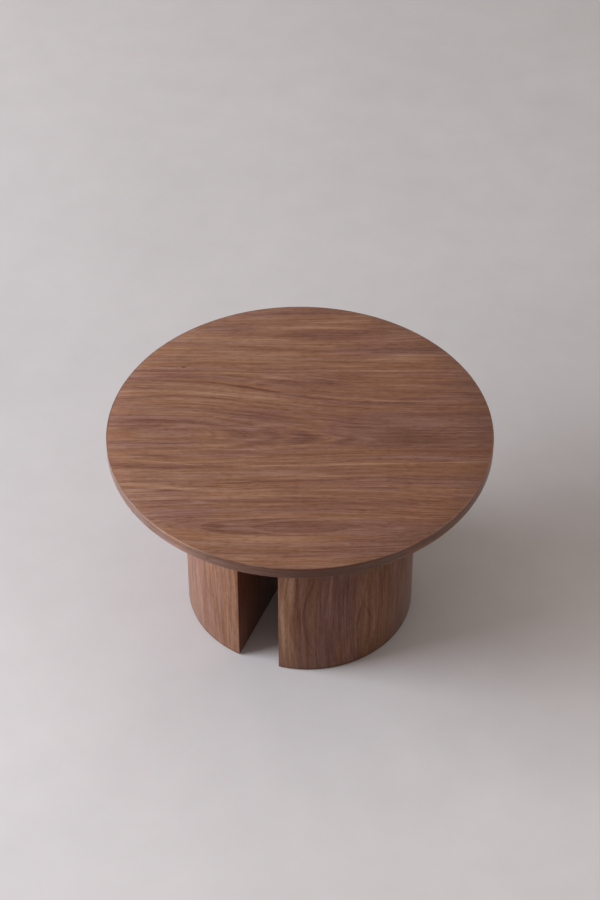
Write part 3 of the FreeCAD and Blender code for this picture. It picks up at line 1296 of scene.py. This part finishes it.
def placed(name: str, data: bpy.types.ID) -> bpy.types.Object:
    """Puts an object into the scene.

    Args:
        name: The object's name.
        data: Its mesh, light or camera.

    Returns:
        The object.
    """
    made = bpy.data.objects.new(name, data)
    bpy.context.scene.collection.objects.link(made)
    return made


def piece_from(name: str, bm: Body, node: str, material: Material) -> None:
    """Makes a body into a piece of the table that stands for a CAD node.

    Args:
        name: The piece's name.
        bm: The body, which is used up.
        node: The node that it stands for.
        material: Its material.
    """
    weld(bm)
    mesh = mesh_from(name, bm)
    mesh.shade_smooth()
    mesh.set_sharp_from_angle(angle=SMOOTH_TURN)
    mesh.materials.append(material)
    piece = placed(name, mesh)
    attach(piece, "root")
    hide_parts(node)
    LOG.info("%s: %d faces, for %s", name, len(mesh.polygons), node)


def dress(node: str, material: Material) -> None:
    """Gives a CAD node its material.

    Args:
        node: The node's name.
        material: Its material.
    """
    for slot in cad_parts[node].material_slots:
        slot.material = material
    LOG.info("%s: dressed in %s", node, material.name)


# The tabletop

# The top's leaves, and the marks that follow their rings
TOP_LEAVES = (
    Leaf(heart=-247, cup=0.00017, cup_middle=-20, cup_reach=260, shade=0.01),
    Leaf(start=-150, heart=-20, taper=0.1, taper_from=-190, taper_to=110, slew=0.7),
    Leaf(start=150, heart=265, cup=0.0001, cup_middle=40, cup_reach=200, shade=0.02),
)
TOP_STREAKS = (
    Streak(-75, 35, 120, 16, -0.14, 90),
    Streak(18, -20, 60, 3.4, -0.46, 34),
    Streak(-38, -20, 80, 2.4, -0.24, 45),
    Streak(-95, -22, 90, 2.2, -0.1, 45),
    Streak(88, -22, 80, 2.2, -0.1, 45),
    Streak(-70, -62, 110, 9, -0.08),
    Streak(232, -18, 130, 8, -0.24),
    Streak(10, 262, 240, 5, -0.24),
    Streak(-25, 330, 110, 9, -0.16),
    Streak(-50, -276, 220, 5, 0.2),
    Streak(40, 128, 70, 8, -0.14),
    Streak(275, 125, 90, 10, -0.14),
)

# Single lines on the top, then its broad lighter and darker places. Each row has its place along and across
# the grain, its half length, its half width and its tone, and its slope and bow where it has them
TOP_LINES = (
    Vein(-210, 131, 180, 4, -0.26, -0.1, -0.0003),
    Vein(-30, 98, 150, 4, -0.18, -0.25, -0.0002),
    Vein(-105, 116, 26, 6, -0.3, -0.14),
    Vein(-295, 114, 60, 3, -0.26, -0.09),
    Vein(-170, 99, 220, 6, 0.3, -0.0875, -0.00038),
    Vein(-190, 81, 140, 5, 0.16, -0.06),
    Vein(-255, 24, 140, 4, -0.18, -0.05),
    Vein(-75, 46, 90, 6, -0.14, -0.22),
    Vein(-60, 30, 100, 4, -0.14, -0.2),
    Vein(120, 161.5, 300, 3, 0.2),
    Vein(245, 155, 100, 3, -0.2),
    Vein(150, 80.5, 210, 3.4, 0.27, -0.062),
    Vein(195, 71, 140, 4, -0.22, -0.07),
    Vein(120, 75, 18, 5, -0.3),
    Vein(230, 50, 150, 3, 0.16, -0.01),
    Vein(-250, -84, 110, 3.2, 0.26, -0.11, -0.0004),
    Vein(90, -91, 380, 2.6, 0.4, 0.03),
    Vein(-275, -67, 80, 4, -0.22, -0.1),
    Vein(-150, -55, 70, 5, -0.18, -0.03),
    Vein(-190, -44, 120, 3.4, 0.08),
    Vein(-150, -38, 90, 18, -0.1),
    Vein(-255, -146, 85, 9, 0.34, -0.09),
    Vein(-245, -156, 100, 3.4, -0.26, -0.08),
    Vein(-65, -144, 90, 7, 0.14, 0.02),
    Vein(-40, -151, 90, 3, -0.2, 0.02),
    Vein(100, -134, 160, 3, -0.2),
    Vein(90, -147, 150, 3.4, 0.18),
    Vein(0, -120, 260, 3, 0.18),
    Vein(0, -127, 260, 3, 0.14),
    Vein(150, -151, 80, 3, -0.2, -0.04),
    Vein(240, -167, 100, 4, -0.2, -0.13),
    Vein(235, -160, 90, 3, 0.14, -0.12),
    Vein(-217, 172, 6, 2.6, -0.85),
    Vein(-230, 161, 30, 2.4, -0.2, 0.05),
    Vein(-230, 207, 120, 4, 0.28),
    Vein(-100, 199, 90, 3.4, 0.22),
    Vein(-40, -250, 150, 9, -0.16),
    Vein(-140, -246, 24, 7, -0.26),
    Vein(-90, -262, 70, 3, -0.2),
    Vein(85, -36, 36, 7, -0.14, 0.05),
    Vein(-70, 135, 55, 3, 0.14, 0.4),
    Vein(-50, 128, 60, 4, -0.12, 0.22),
)
TOP_SHADES = (
    Vein(-130, 122, 110, 26, 0.14),
    Vein(150, 160, 90, 18, -0.14),
    Vein(275, 80, 90, 20, 0.12),
    Vein(60, 124, 150, 34, -0.12),
    Vein(-125, -160, 110, 26, 0.22),
    Vein(170, 201, 170, 18, 0.24),
    Vein(-90, 200, 200, 16, 0.1),
    Vein(250, -200, 70, 22, 0.14),
    Vein(120, -242, 90, 18, -0.12),
    Vein(-160, -242, 90, 16, -0.1),
    Vein(-80, -282, 110, 16, 0.08),
    Vein(-240, 82, 80, 18, 0.1),
    Vein(0, 100, 60, 30, -0.08),
    Vein(-75, 2, 90, 18, -0.08),
    Vein(95, 0, 50, 16, -0.09),
    Vein(250, -78, 60, 16, -0.1),
    Vein(-275, -82, 60, 16, 0.1),
    Vein(-110, -82, 190, 22, 0.14),
    Vein(-200, -118, 130, 26, 0.12),
    Vein(-230, 0, 150, 34, -0.11),
    Vein(-120, 280, 90, 26, -0.18),
    Vein(0, -282, 130, 20, 0.12),
    Vein(60, -200, 110, 20, -0.14),
    Vein(190, 42, 130, 22, -0.17),
    Vein(260, -38, 110, 20, 0.12),
)

# Where the top is more plum or, below 0, warmer
TOP_BLUSHES = (
    Vein(230, 0, 210, 62, 0.8),
    Vein(150, 215, 130, 40, 0.3),
    Vein(-215, -215, 90, 40, 0.34),
    Vein(-75, 40, 60, 20, 0.28),
    Vein(90, -300, 110, 30, 0.22),
    Vein(220, -160, 80, 22, -0.24),
    Vein(-150, -40, 70, 20, -0.26),
    Vein(-125, 160, 70, 22, -0.16),
    Vein(120, 128, 200, 60, -0.28),
    Vein(-20, 258, 220, 50, -0.18),
    Vein(0, -246, 240, 34, 0.24),
    Vein(180, -262, 130, 60, 0.34),
    Vein(-280, 20, 130, 60, 0.12),
    Vein(-230, -130, 120, 50, 0.1),
)

# The figure of the edge band, along it from the front and up from the floor, and its greyer plum. Its
# streaks are painted light on its left and right sides and painted shade at its front, its vein is a painted
# highlight along the upper arris on the left, and its plum place on the left, in the greyer plum, is a
# painted sheen
BAND_LEAVES = (Leaf(heart=300),)
BAND_PAINTED_LIGHT_AND_SHADE = (
    Streak(-230, 410, 320, 100, 0.14, 100),
    Streak(-85, 410, 75, 100, 0.24, 100),
    Streak(335, 410, 75, 100, 0.11, 100),
    Streak(140, 410, 300, 100, -0.28, 100),
)
BAND_PAINTED_HIGHLIGHT = (Vein(-150, 419.5, 170, 3, 0.26),)
BAND_PAINTED_SHEEN = (Vein(-230, 410, 320, 100, 0.5),)
BAND_TONES = WalnutTones(plum=(0.195, 0.098, 0.070))

# The plain leaves of the underside
BACKING_LEAVES = (
    Leaf(heart=-330),
    Leaf(start=-120, heart=20, taper=0.05),
    Leaf(start=140, heart=300),
)


@dataclass
class Tabletop:
    """The round top: a veneered board with a walnut band round its edge.

    Fields: the band's outer and inner radius, its lowest and highest z, the veneer's lowest z, the round on
    the band's arrises, its faces, and the room from the band's edges that it takes, the round on the
    veneer's edge, and the turn of its grain.
    """

    radius: float
    board_radius: float
    low: float
    high: float
    veneer_low: float
    arris: float = 1.4 * MM
    arris_faces: int = 6
    arris_room: float = 1.8 * MM
    veneer_ease: float = 0.1 * MM
    grain_turn: float = VIEW_TURN

    @classmethod
    def measured(cls) -> "Tabletop":
        """Takes the sizes from the CAD nodes.

        Returns:
            The tabletop.
        """
        band_low, band_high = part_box("top_edge_band")
        face_low, face_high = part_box("top_face_veneer")
        return cls(band_high.y, face_high.y, band_low.z, band_high.z, face_low.z)

    def build(self) -> None:
        """Builds the veneer and the band, and dresses the nodes that stay."""
        self.face_veneer()
        self.edge_band()
        dress("top_backing_veneer", self.backing().material())
        fibreboard = Speckled(
            "fibreboard",
            dark=(0.27, 0.18, 0.10),
            light=(0.47, 0.34, 0.22),
            scale=350.0,
            roughness=0.8,
            relief=0.1 * MM,
        )
        dress("top_core", fibreboard.material())
        brass = Metal("brass", bright=(0.80, 0.58, 0.28), dull=(0.55, 0.38, 0.18), roughness=0.34)
        dress("top_threaded_inserts", brass.material())

    def face_veneer(self) -> None:
        """Builds the veneer on the upper face."""
        bm = spun_body(0.0, self.board_radius, self.veneer_low, self.high)
        upper = self.high - self.veneer_ease
        rim = [edge for edge in sharp_edges(bm) if min(vert.co.z for vert in edge.verts) > upper]
        ease(bm, rim, self.veneer_ease)
        piece_from("face_veneer", bm, "top_face_veneer", self.face().material())

    def edge_band(self) -> None:
        """Builds the band round the edge, with its softened arrises."""
        bm = spun_body(self.board_radius, self.radius, self.low, self.high)
        middle = (self.board_radius + self.radius) / 2.0
        outer = [edge for edge in sharp_edges(bm) if min(vert.co.xy.length for vert in edge.verts) > middle]
        ease(bm, outer, self.arris, self.arris_faces)
        for height in (self.low + self.arris_room, self.high - self.arris_room):
            bisect(bm, (0.0, 0.0, height), UP)
        piece_from("edge_band", bm, "top_edge_band", self.band().material())

    def face(self) -> Walnut:
        """The finish of the upper face: three leaves, with an arched figure on the middle one."""
        lay = LevelLay(self.grain_turn, self.board_radius)
        return Walnut(
            "walnut_top", lay, TOP_LEAVES, TOP_STREAKS, TOP_LINES + TOP_SHADES, TOP_BLUSHES,
            # The slope is a painted falloff of the lamps' light: the top grows darker towards the right
            seed=3.0, slope=-0.34,
        )

    def band(self) -> Walnut:
        """The finish of the edge band: straight grain round the rim, with painted light and shade, a painted
        highlight and a painted sheen.
        """
        lay = RimLay(self.radius, self.low, self.high)
        return Walnut(
            "walnut_edge", lay, BAND_LEAVES, BAND_PAINTED_LIGHT_AND_SHADE, BAND_PAINTED_HIGHLIGHT, BAND_PAINTED_SHEEN,
            seed=11.0, figure=1.2, gloss=0.3, haze=0.36, wear=0.0, tones=BAND_TONES,
        )

    def backing(self) -> Walnut:
        """The finish of the underside: plain leaves with straight grain."""
        lay = LevelLay(self.grain_turn, self.board_radius)
        return Walnut("walnut_backing", lay, BACKING_LEAVES, seed=23.0)


# The legs

# A dark line along the foot of each leg, a painted shadow of the gap under it
FOOT_SHADOW = Vein(0, 0, 7, 10000, -0.5)

# The figure of the left leg's curved face, up it from the floor and round it from its front corner
LEFT_LEAVES = (Leaf(heart=330, taper=0.04),)
LEFT_STREAKS = (
    Streak(200, 94, 420, 4, -0.12),
    Streak(200, 4, 420, 3, -0.18),
    Streak(200, 68, 420, 14, 0.09),
)
LEFT_VEINS = (
    FOOT_SHADOW,
    Vein(130, 25, 160, 3, 0.22),
    Vein(120, 17, 200, 3, -0.16),
    Vein(110, 36, 200, 2.4, -0.18),
    Vein(110, 58, 220, 4, -0.18),
)
LEFT_BLUSHES = (Vein(120, 40, 300, 70, -0.1),)

# The figure of the right leg's curved face
RIGHT_LEAVES = (Leaf(heart=168, cup=0.0005, cup_middle=130, cup_reach=200),)
RIGHT_STREAKS = (Streak(200, 16, 420, 15, 0.25),)
RIGHT_VEINS = (
    FOOT_SHADOW,
    Vein(205, 25, 70, 8, 0.36),
    Vein(100, 8, 110, 8, 0.5),
    Vein(205, 37, 80, 4, -0.26),
    Vein(165, 48, 120, 3, -0.34, 0.1, 0.0022),
    Vein(170, 77, 110, 3.4, -0.26),
    Vein(90, 94, 100, 12, -0.16),
    Vein(190, 112, 100, 2.8, -0.22),
    Vein(190, 120, 100, 2.8, -0.22),
    Vein(150, 129, 120, 4, -0.28),
    Vein(123, 153, 50, 3.6, -0.36, 0.17),
    Vein(125, 173, 50, 3.6, -0.3, -0.38),
    Vein(178, 163, 40, 7, 0.22),
    Vein(100, 189, 80, 3.4, 0.22, -0.05, -0.002),
    Vein(175, 203, 80, 3.4, -0.28, -0.1),
    Vein(190, 238, 90, 3.4, 0.2),
    Vein(120, 252, 160, 5, -0.1),
)
RIGHT_BLUSHES = (
    Vein(90, 92, 110, 18, 0.4),
    Vein(190, 118, 120, 20, 0.4),
    Vein(150, 20, 200, 30, -0.3),
    Vein(130, 190, 220, 60, -0.3),
)

# The plain leaf of both flat faces
FLAT_LEAVES = (Leaf(heart=-60, taper=0.06),)

# How much the figure of beech is drawn out along x, y and z, in upright and in level pieces
UPRIGHT_BEECH = (1.0, 1.0, 30.0)
LEVEL_BEECH = (30.0, 1.0, 1.0)


@dataclass
class Leg:
    """One half-round leg: bent plywood over formers, with walnut on its curved and flat faces.

    Fields: its side, the x of its flat face, half of its width, its depth from that face to the crown, its
    lowest and highest z, the thickness of its veneer, how far the bent sheet is spun past the flat face
    before it is cut and in how many steps, the rounds on the edges of the curved and the flat sheet, how
    far in from the curved face the shell's plies start, and the thickness of one of them.
    """

    side: LegSide
    flat_x: float
    half_width: float
    depth: float
    low: float
    high: float
    veneer: float
    overshoot: float = math.radians(2.0)
    bend_steps: int = 192
    curved_ease: float = 0.15 * MM
    flat_ease: float = 0.12 * MM
    shell_depth: float = 10.0 * MM
    shell_ply: float = 3.0 * MM

    @classmethod
    def measured(cls, side: LegSide) -> "Leg":
        """Takes one leg's sizes from its CAD nodes.

        Args:
            side: The leg's side.

        Returns:
            The leg.
        """
        low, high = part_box(side.node("curved_veneer"))
        flat_low, flat_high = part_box(side.node("flat_veneer"))
        near = min(abs(low.x), abs(high.x))
        far = max(abs(low.x), abs(high.x))
        return cls(side, near, high.y, far - near, low.z, high.z, flat_high.x - flat_low.x)

    @property
    def radius(self) -> float:
        """The radius of the curved face, from its chord and its rise."""
        return (self.half_width**2 + self.depth**2) / (2.0 * self.depth)

    @property
    def centre_x(self) -> float:
        """How far the curve's axis stands from the middle of the table."""
        return self.flat_x + self.depth - self.radius

    @property
    def half_angle(self) -> float:
        """Half of the angle that the curved face covers."""
        return math.acos((self.flat_x - self.centre_x) / self.radius)

    def build(self) -> None:
        """Builds the two veneers and dresses the nodes that stay."""
        self.curved_veneer()
        self.flat_veneer()
        self.dress_carcass()

    def curved_veneer(self) -> None:
        """Builds the bent sheet, cut off level with the flat face."""
        sign = self.side.value
        half = self.half_angle + self.overshoot
        towards = 0.0 if self.side is LegSide.RIGHT else math.pi
        inner = self.radius - self.veneer
        bm = spun_body(inner, self.radius, self.low, self.high, towards - half, 2.0 * half, self.bend_steps)
        bmesh.ops.translate(bm, vec=(sign * self.centre_x, 0.0, 0.0), verts=bm.verts)
        bisect(bm, (sign * self.flat_x, 0.0, 0.0), (-sign, 0.0, 0.0), trim=True)
        bmesh.ops.holes_fill(bm, edges=[edge for edge in bm.edges if edge.is_boundary], sides=0)
        bmesh.ops.recalc_face_normals(bm, faces=bm.faces)
        ease(bm, sharp_edges(bm), self.curved_ease)
        name = self.side.node("curved_sheet")
        piece_from(name, bm, self.side.node("curved_veneer"), self.bent_walnut().material())

    def flat_veneer(self) -> None:
        """Builds the sheet on the flat face."""
        low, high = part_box(self.side.node("flat_veneer"))
        bm = bmesh.new()
        bmesh.ops.create_cube(bm, size=1.0)
        bmesh.ops.scale(bm, vec=high - low, verts=bm.verts)
        bmesh.ops.translate(bm, vec=(low + high) / 2.0, verts=bm.verts)
        ease(bm, bm.edges, self.flat_ease)
        name = self.side.node("flat_sheet")
        piece_from(name, bm, self.side.node("flat_veneer"), self.flat_walnut().material())

    def bent_walnut(self) -> Walnut:
        """The finish of the curved face.

        Returns:
            The finish.
        """
        lay = BentLay(self.side, self.centre_x, self.radius, self.half_angle, self.low)
        if self.side is LegSide.LEFT:
            return Walnut(
                "walnut_left_leg", lay, LEFT_LEAVES, LEFT_STREAKS, LEFT_VEINS, LEFT_BLUSHES,
                # The left leg's lift is painted light: the leg is lighter because the lamps light it from
                # the left
                seed=31.0, lift=0.145, figure=1.1, gloss=0.2, haze=0.18, wear=0.0,
            )
        return Walnut(
            "walnut_right_leg", lay, RIGHT_LEAVES, RIGHT_STREAKS, RIGHT_VEINS, RIGHT_BLUSHES,
            seed=47.0, lift=0.02, figure=1.25, gloss=0.25, haze=0.14, wear=0.0,
        )

    def flat_walnut(self) -> Walnut:
        """The finish of the flat face.

        Returns:
            The finish.
        """
        name = f"walnut_{self.side.word}_flat"
        lay = UprightLay(self.half_width, self.low)
        seed = 61.0 + self.side.value
        # The lift below 0 is painted shade: the flat faces stand in the dim slot between the legs
        return Walnut(name, lay, FLAT_LEAVES, seed=seed, lift=-0.36, figure=0.9, gloss=0.2, haze=0.12)

    def dress_carcass(self) -> None:
        """Gives the leg's inner pieces and hardware their materials."""
        word = self.side.word
        for level in ("top", "middle", "bottom"):
            node = self.side.node(f"{level}_former")
            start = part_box(node)[0].z
            dress(node, Plywood(f"plywood_{word}_{level}", PlyStack.LEVEL, start).material())
        panel = Plywood(f"plywood_{word}_panel", PlyStack.UPRIGHT, self.flat_x + self.veneer)
        dress(self.side.node("flat_panel"), panel.material())
        shell_start = self.radius - self.shell_depth
        shell = Plywood(f"bending_plywood_{word}", PlyStack.BENT, shell_start, self.shell_ply, self.centre_x)
        dress(self.side.node("curved_shell"), shell.material())
        upright = Beech(f"beech_{word}_upright", UPRIGHT_BEECH).material()
        for part in ("front_corner_post", "rear_corner_post", "locating_dowels"):
            dress(self.side.node(part), upright)
        dress(self.side.node("panel_dowels"), Beech(f"beech_{word}_level", LEVEL_BEECH).material())
        steel = Metal(f"steel_{word}", bright=(0.66, 0.67, 0.68), dull=(0.48, 0.48, 0.49), roughness=0.36)
        hardware = steel.material()
        for part in ("bolts", "washers", "glide_screws"):
            dress(self.side.node(part), hardware)
        nylon = Speckled(
            f"nylon_{word}",
            dark=(0.022, 0.021, 0.020),
            light=(0.042, 0.040, 0.038),
            scale=900.0,
            roughness=0.5,
            relief=0.02 * MM,
        )
        dress(self.side.node("glides"), nylon.material())


# The studio

# The floor's clouds and mottle to the metre, with their tones
FLOOR_CLOUDS = 2.5
CLOUD_TONE = 0.26
FLOOR_MOTTLE = 11.0
MOTTLE_TONE = 0.24

# Where the floor darkens towards the back, a painted shade, with its tone, and where the dim room and the
# backdrop start
PAINTED_FLOOR_FALLOFF = (-0.5, 0.7)
PAINTED_FALLOFF_TONE = -0.31
ROOM_STARTS = (-1.2, -2.2)
BACKDROP_STARTS = (2.3, 3.4)

# How bright the darkest and the lightest floor are beside its own colour, and its finish
DEEP_FLOOR = 0.8
LIGHT_FLOOR = 1.2
FLOOR_ROUGHNESS = 0.9
FLOOR_GLOSS = 0.1
FLOOR_SEGMENTS = 96

# The height that the lamps are aimed at
LAMP_AIM = 0.25


@dataclass(frozen=True)
class SoftBox:
    """A square lamp, placed as the camera sees it.

    Fields: its name, how far it stands to the right of the table, behind it and above the floor, its side,
    its power in watts and its colour.
    """

    name: str
    right: float
    behind: float
    height: float
    size: float
    watts: float
    colour: Colour = (0.95, 1.01, 1.06)


@dataclass(frozen=True)
class PaintedLightAndShadePatch:
    """A broad patch of painted light (a little lighter) or painted shade (a little darker) on the floor.

    Fields: its place to the right and behind the table as the camera sees it, how far it reaches each way,
    and its tone.
    """

    right: float
    behind: float
    width: float
    depth: float
    tone: float

    def part(self, bench: NodeBench, place: Socket) -> Tuple[Socket, float]:
        """How strong the patch is at a place, turned as the camera sees it, and its tone."""
        spot = bench.mark(place, (self.right, self.behind, 0.0), (self.width, self.depth, 1.0))
        return spot, self.tone


@dataclass
class Studio:
    """The floor, the lamps and the camera.

    Fields: the camera's turn round the table, its distance along the floor, its height, its downward pitch,
    its focal length and the side of its sensor, the colours of the floor, of the dim room on the camera's
    side that throws little light back, and of the backdrop, the colour of the soft light and how much of it
    comes from behind and from overhead, the floor's radius and its patches of painted light and shade, and
    the lamps.
    """

    turn: float = VIEW_TURN
    distance: float = 2.94473
    height: float = 3.13258
    pitch: float = math.radians(43.175)
    focal_length: float = 88.61
    sensor: float = 36.0
    floor_colour: Colour = (0.624, 0.588, 0.604)
    room_colour: Colour = (0.08, 0.075, 0.07)
    backdrop: Colour = (0.56, 0.53, 0.54)
    soft_colour: Colour = (1.06, 0.985, 0.90)
    light_behind: float = 0.15
    light_overhead: float = 0.735
    floor_radius: float = 14.0
    # Patches of painted light and painted shade on the floor: the darker ones deepen the table's shadow and
    # the floor at the left, the lighter ones thin the shadow at the right and brighten the far floor on the
    # left
    painted_patches: Tuple[PaintedLightAndShadePatch, ...] = (
        PaintedLightAndShadePatch(0.85, 0.52, 0.9, 0.62, -0.30),
        PaintedLightAndShadePatch(-0.9, 2.2, 1.3, 1.1, 0.20),
        PaintedLightAndShadePatch(0.68, -0.08, 0.26, 0.3, 0.18),
        PaintedLightAndShadePatch(0.45, -0.38, 0.26, 0.2, -0.15),
        PaintedLightAndShadePatch(-0.75, 0.5, 0.5, 0.9, -0.10),
    )
    lamps: Tuple[SoftBox, ...] = (
        SoftBox("key_lamp", right=-4.64, behind=-0.41, height=2.78, size=3.0, watts=282.0),
        SoftBox("low_lamp", right=-4.4, behind=0.0, height=0.8, size=1.5, watts=66.0),
    )

    def place(self, right: float, behind: float, height: float) -> Vector:
        """A place given as the camera sees it, in the table's frame.

        Args:
            right: The way to the right.
            behind: The way to the back.
            height: The way up from the floor.

        Returns:
            The place.
        """
        across = Vector((math.cos(self.turn), math.sin(self.turn), 0.0)) * right
        away = Vector((-math.sin(self.turn), math.cos(self.turn), 0.0)) * behind
        return across + away + Vector(UP) * height

    def build(self) -> None:
        """Builds the floor, the lamps, the world and the camera."""
        bpy.context.scene.view_settings.view_transform = "Standard"
        self.floor()
        for lamp in self.lamps:
            self.lamp(lamp)
        self.world()
        self.camera()

    def floor(self) -> None:
        """Builds the pale floor, which turns into the plain backdrop far from the table."""
        bm = bmesh.new()
        bmesh.ops.create_circle(bm, cap_ends=True, segments=FLOOR_SEGMENTS, radius=self.floor_radius)
        mesh = mesh_from("studio_floor", bm)
        mesh.materials.append(self.floor_material())
        floor = placed("studio_floor", mesh)
        LOG.info("studio_floor: the stage")

    def floor_material(self) -> Material:
        """Makes the floor's material.

        Returns:
            The material.
        """
        bench = NodeBench("studio_floor")
        cloud = bench.noise(bench.place, scale=FLOOR_CLOUDS, detail=3.0)
        mottle = bench.noise(bench.place, scale=FLOOR_MOTTLE, detail=4.0, roughness=0.6)
        turned = bench.mapping(bench.place, rotation=(0.0, 0.0, -self.turn))
        _, behind, _ = bench.split(turned)
        # The floor's level, with painted shade towards the back and the patches of painted light and shade
        level = bench.total(
            MIDDLE,
            (bench.centred(cloud), CLOUD_TONE),
            (bench.centred(mottle), MOTTLE_TONE),
            (bench.fade(behind, *PAINTED_FLOOR_FALLOFF), PAINTED_FALLOFF_TONE),
            *(patch.part(bench, turned) for patch in self.painted_patches),
        )
        deep = [part * DEEP_FLOOR for part in self.floor_colour]
        light = [part * LIGHT_FLOOR for part in self.floor_colour]
        seen = seen_directly(bench.nodes, bench.links)
        room = bench.math("MULTIPLY", bench.fade(behind, *ROOM_STARTS), bench.rest(seen))
        bench.finish("Base Color", bench.mix(room, bench.mix(level, deep, light), self.room_colour))
        bench.finish("Roughness", FLOOR_ROUGHNESS)
        bench.finish("Specular IOR Level", FLOOR_GLOSS)
        glow = bench.nodes.new("ShaderNodeEmission")
        glow.inputs["Color"].default_value = opaque(self.backdrop)
        x, y, _ = bench.split(bench.place)
        far = bench.fade(hypotenuse(bench, x, y), *BACKDROP_STARTS)
        mixed = bench.nodes.new("ShaderNodeMixShader")
        bench.put(mixed.inputs["Fac"], bench.math("MULTIPLY", far, seen))
        bench.put(mixed.inputs[1], bench.shader.outputs["BSDF"])
        bench.put(mixed.inputs[2], glow.outputs["Emission"])
        bench.put(bench.output.inputs["Surface"], mixed.outputs["Shader"])
        return bench.material

    def lamp(self, box: SoftBox) -> None:
        """Builds one lamp, turned towards the table.

        Args:
            box: The lamp's place, size and power.
        """
        light = bpy.data.lights.new(box.name, "AREA")
        light.shape = "SQUARE"
        light.size = box.size
        light.energy = box.watts
        light.color = box.colour
        lamp = placed(box.name, light)
        lamp.location = self.place(box.right, box.behind, box.height)
        towards = Vector(UP) * LAMP_AIM - lamp.location
        lamp.rotation_euler = towards.to_track_quat("-Z", "Y").to_euler()
        LOG.info("%s: %.0f watts", box.name, box.watts)

    def world(self) -> None:
        """Builds the soft light from overhead and behind, and the backdrop that is seen instead of it."""
        world = bpy.data.worlds.new("studio")
        world.use_nodes = True
        nodes = world.node_tree.nodes
        links = world.node_tree.links
        nodes.clear()
        direction = nodes.new("ShaderNodeTexCoord")
        facing = nodes.new("ShaderNodeVectorMath")
        facing.operation = "DOT_PRODUCT"
        facing.inputs[1].default_value = self.place(0.0, self.light_behind, self.light_overhead)
        links.new(direction.outputs["Generated"], facing.inputs[0])
        level = nodes.new("ShaderNodeMath")
        level.operation = "MAXIMUM"
        level.inputs[1].default_value = 0.0
        links.new(facing.outputs["Value"], level.inputs[0])
        soft = nodes.new("ShaderNodeBackground")
        soft.inputs["Color"].default_value = opaque(self.soft_colour)
        links.new(level.outputs["Value"], soft.inputs["Strength"])
        backdrop = nodes.new("ShaderNodeBackground")
        backdrop.inputs["Color"].default_value = opaque(self.backdrop)
        mixed = nodes.new("ShaderNodeMixShader")
        output = nodes.new("ShaderNodeOutputWorld")
        links.new(seen_directly(nodes, links), mixed.inputs["Fac"])
        links.new(soft.outputs["Background"], mixed.inputs[1])
        links.new(backdrop.outputs["Background"], mixed.inputs[2])
        links.new(mixed.outputs["Shader"], output.inputs["Surface"])
        bpy.context.scene.world = world

    def camera(self) -> None:
        """Builds the camera at the photograph's viewing angle."""
        data = bpy.data.cameras.new("camera")
        data.sensor_fit = "VERTICAL"
        data.sensor_height = self.sensor
        data.sensor_width = self.sensor
        data.lens = self.focal_length
        camera = placed("camera", data)
        camera.location = self.place(0.0, -self.distance, self.height)
        camera.rotation_euler = (math.pi / 2.0 - self.pitch, 0.0, self.turn)
        bpy.context.scene.camera = camera


def seen_directly(nodes: bpy.types.Nodes, links: bpy.types.NodeLinks) -> Socket:
    """Makes a value that is 1 for camera, glossy and transmitted rays.

    Args:
        nodes: The nodes to add to.
        links: Their links.

    Returns:
        The value.
    """
    path = nodes.new("ShaderNodeLightPath")
    result = path.outputs["Is Camera Ray"]
    for name in ("Is Glossy Ray", "Is Transmission Ray"):
        either = nodes.new("ShaderNodeMath")
        either.operation = "MAXIMUM"
        links.new(result, either.inputs[0])
        links.new(path.outputs[name], either.inputs[1])
        result = either.outputs["Value"]
    return result


def main() -> None:
    """Builds the table's looks and the studio."""
    logging.basicConfig(level=logging.INFO, format="%(name)s: %(message)s")
    Studio().build()
    Tabletop.measured().build()
    for side in LegSide:
        Leg.measured(side).build()


if __name__ == "__main__":
    main()
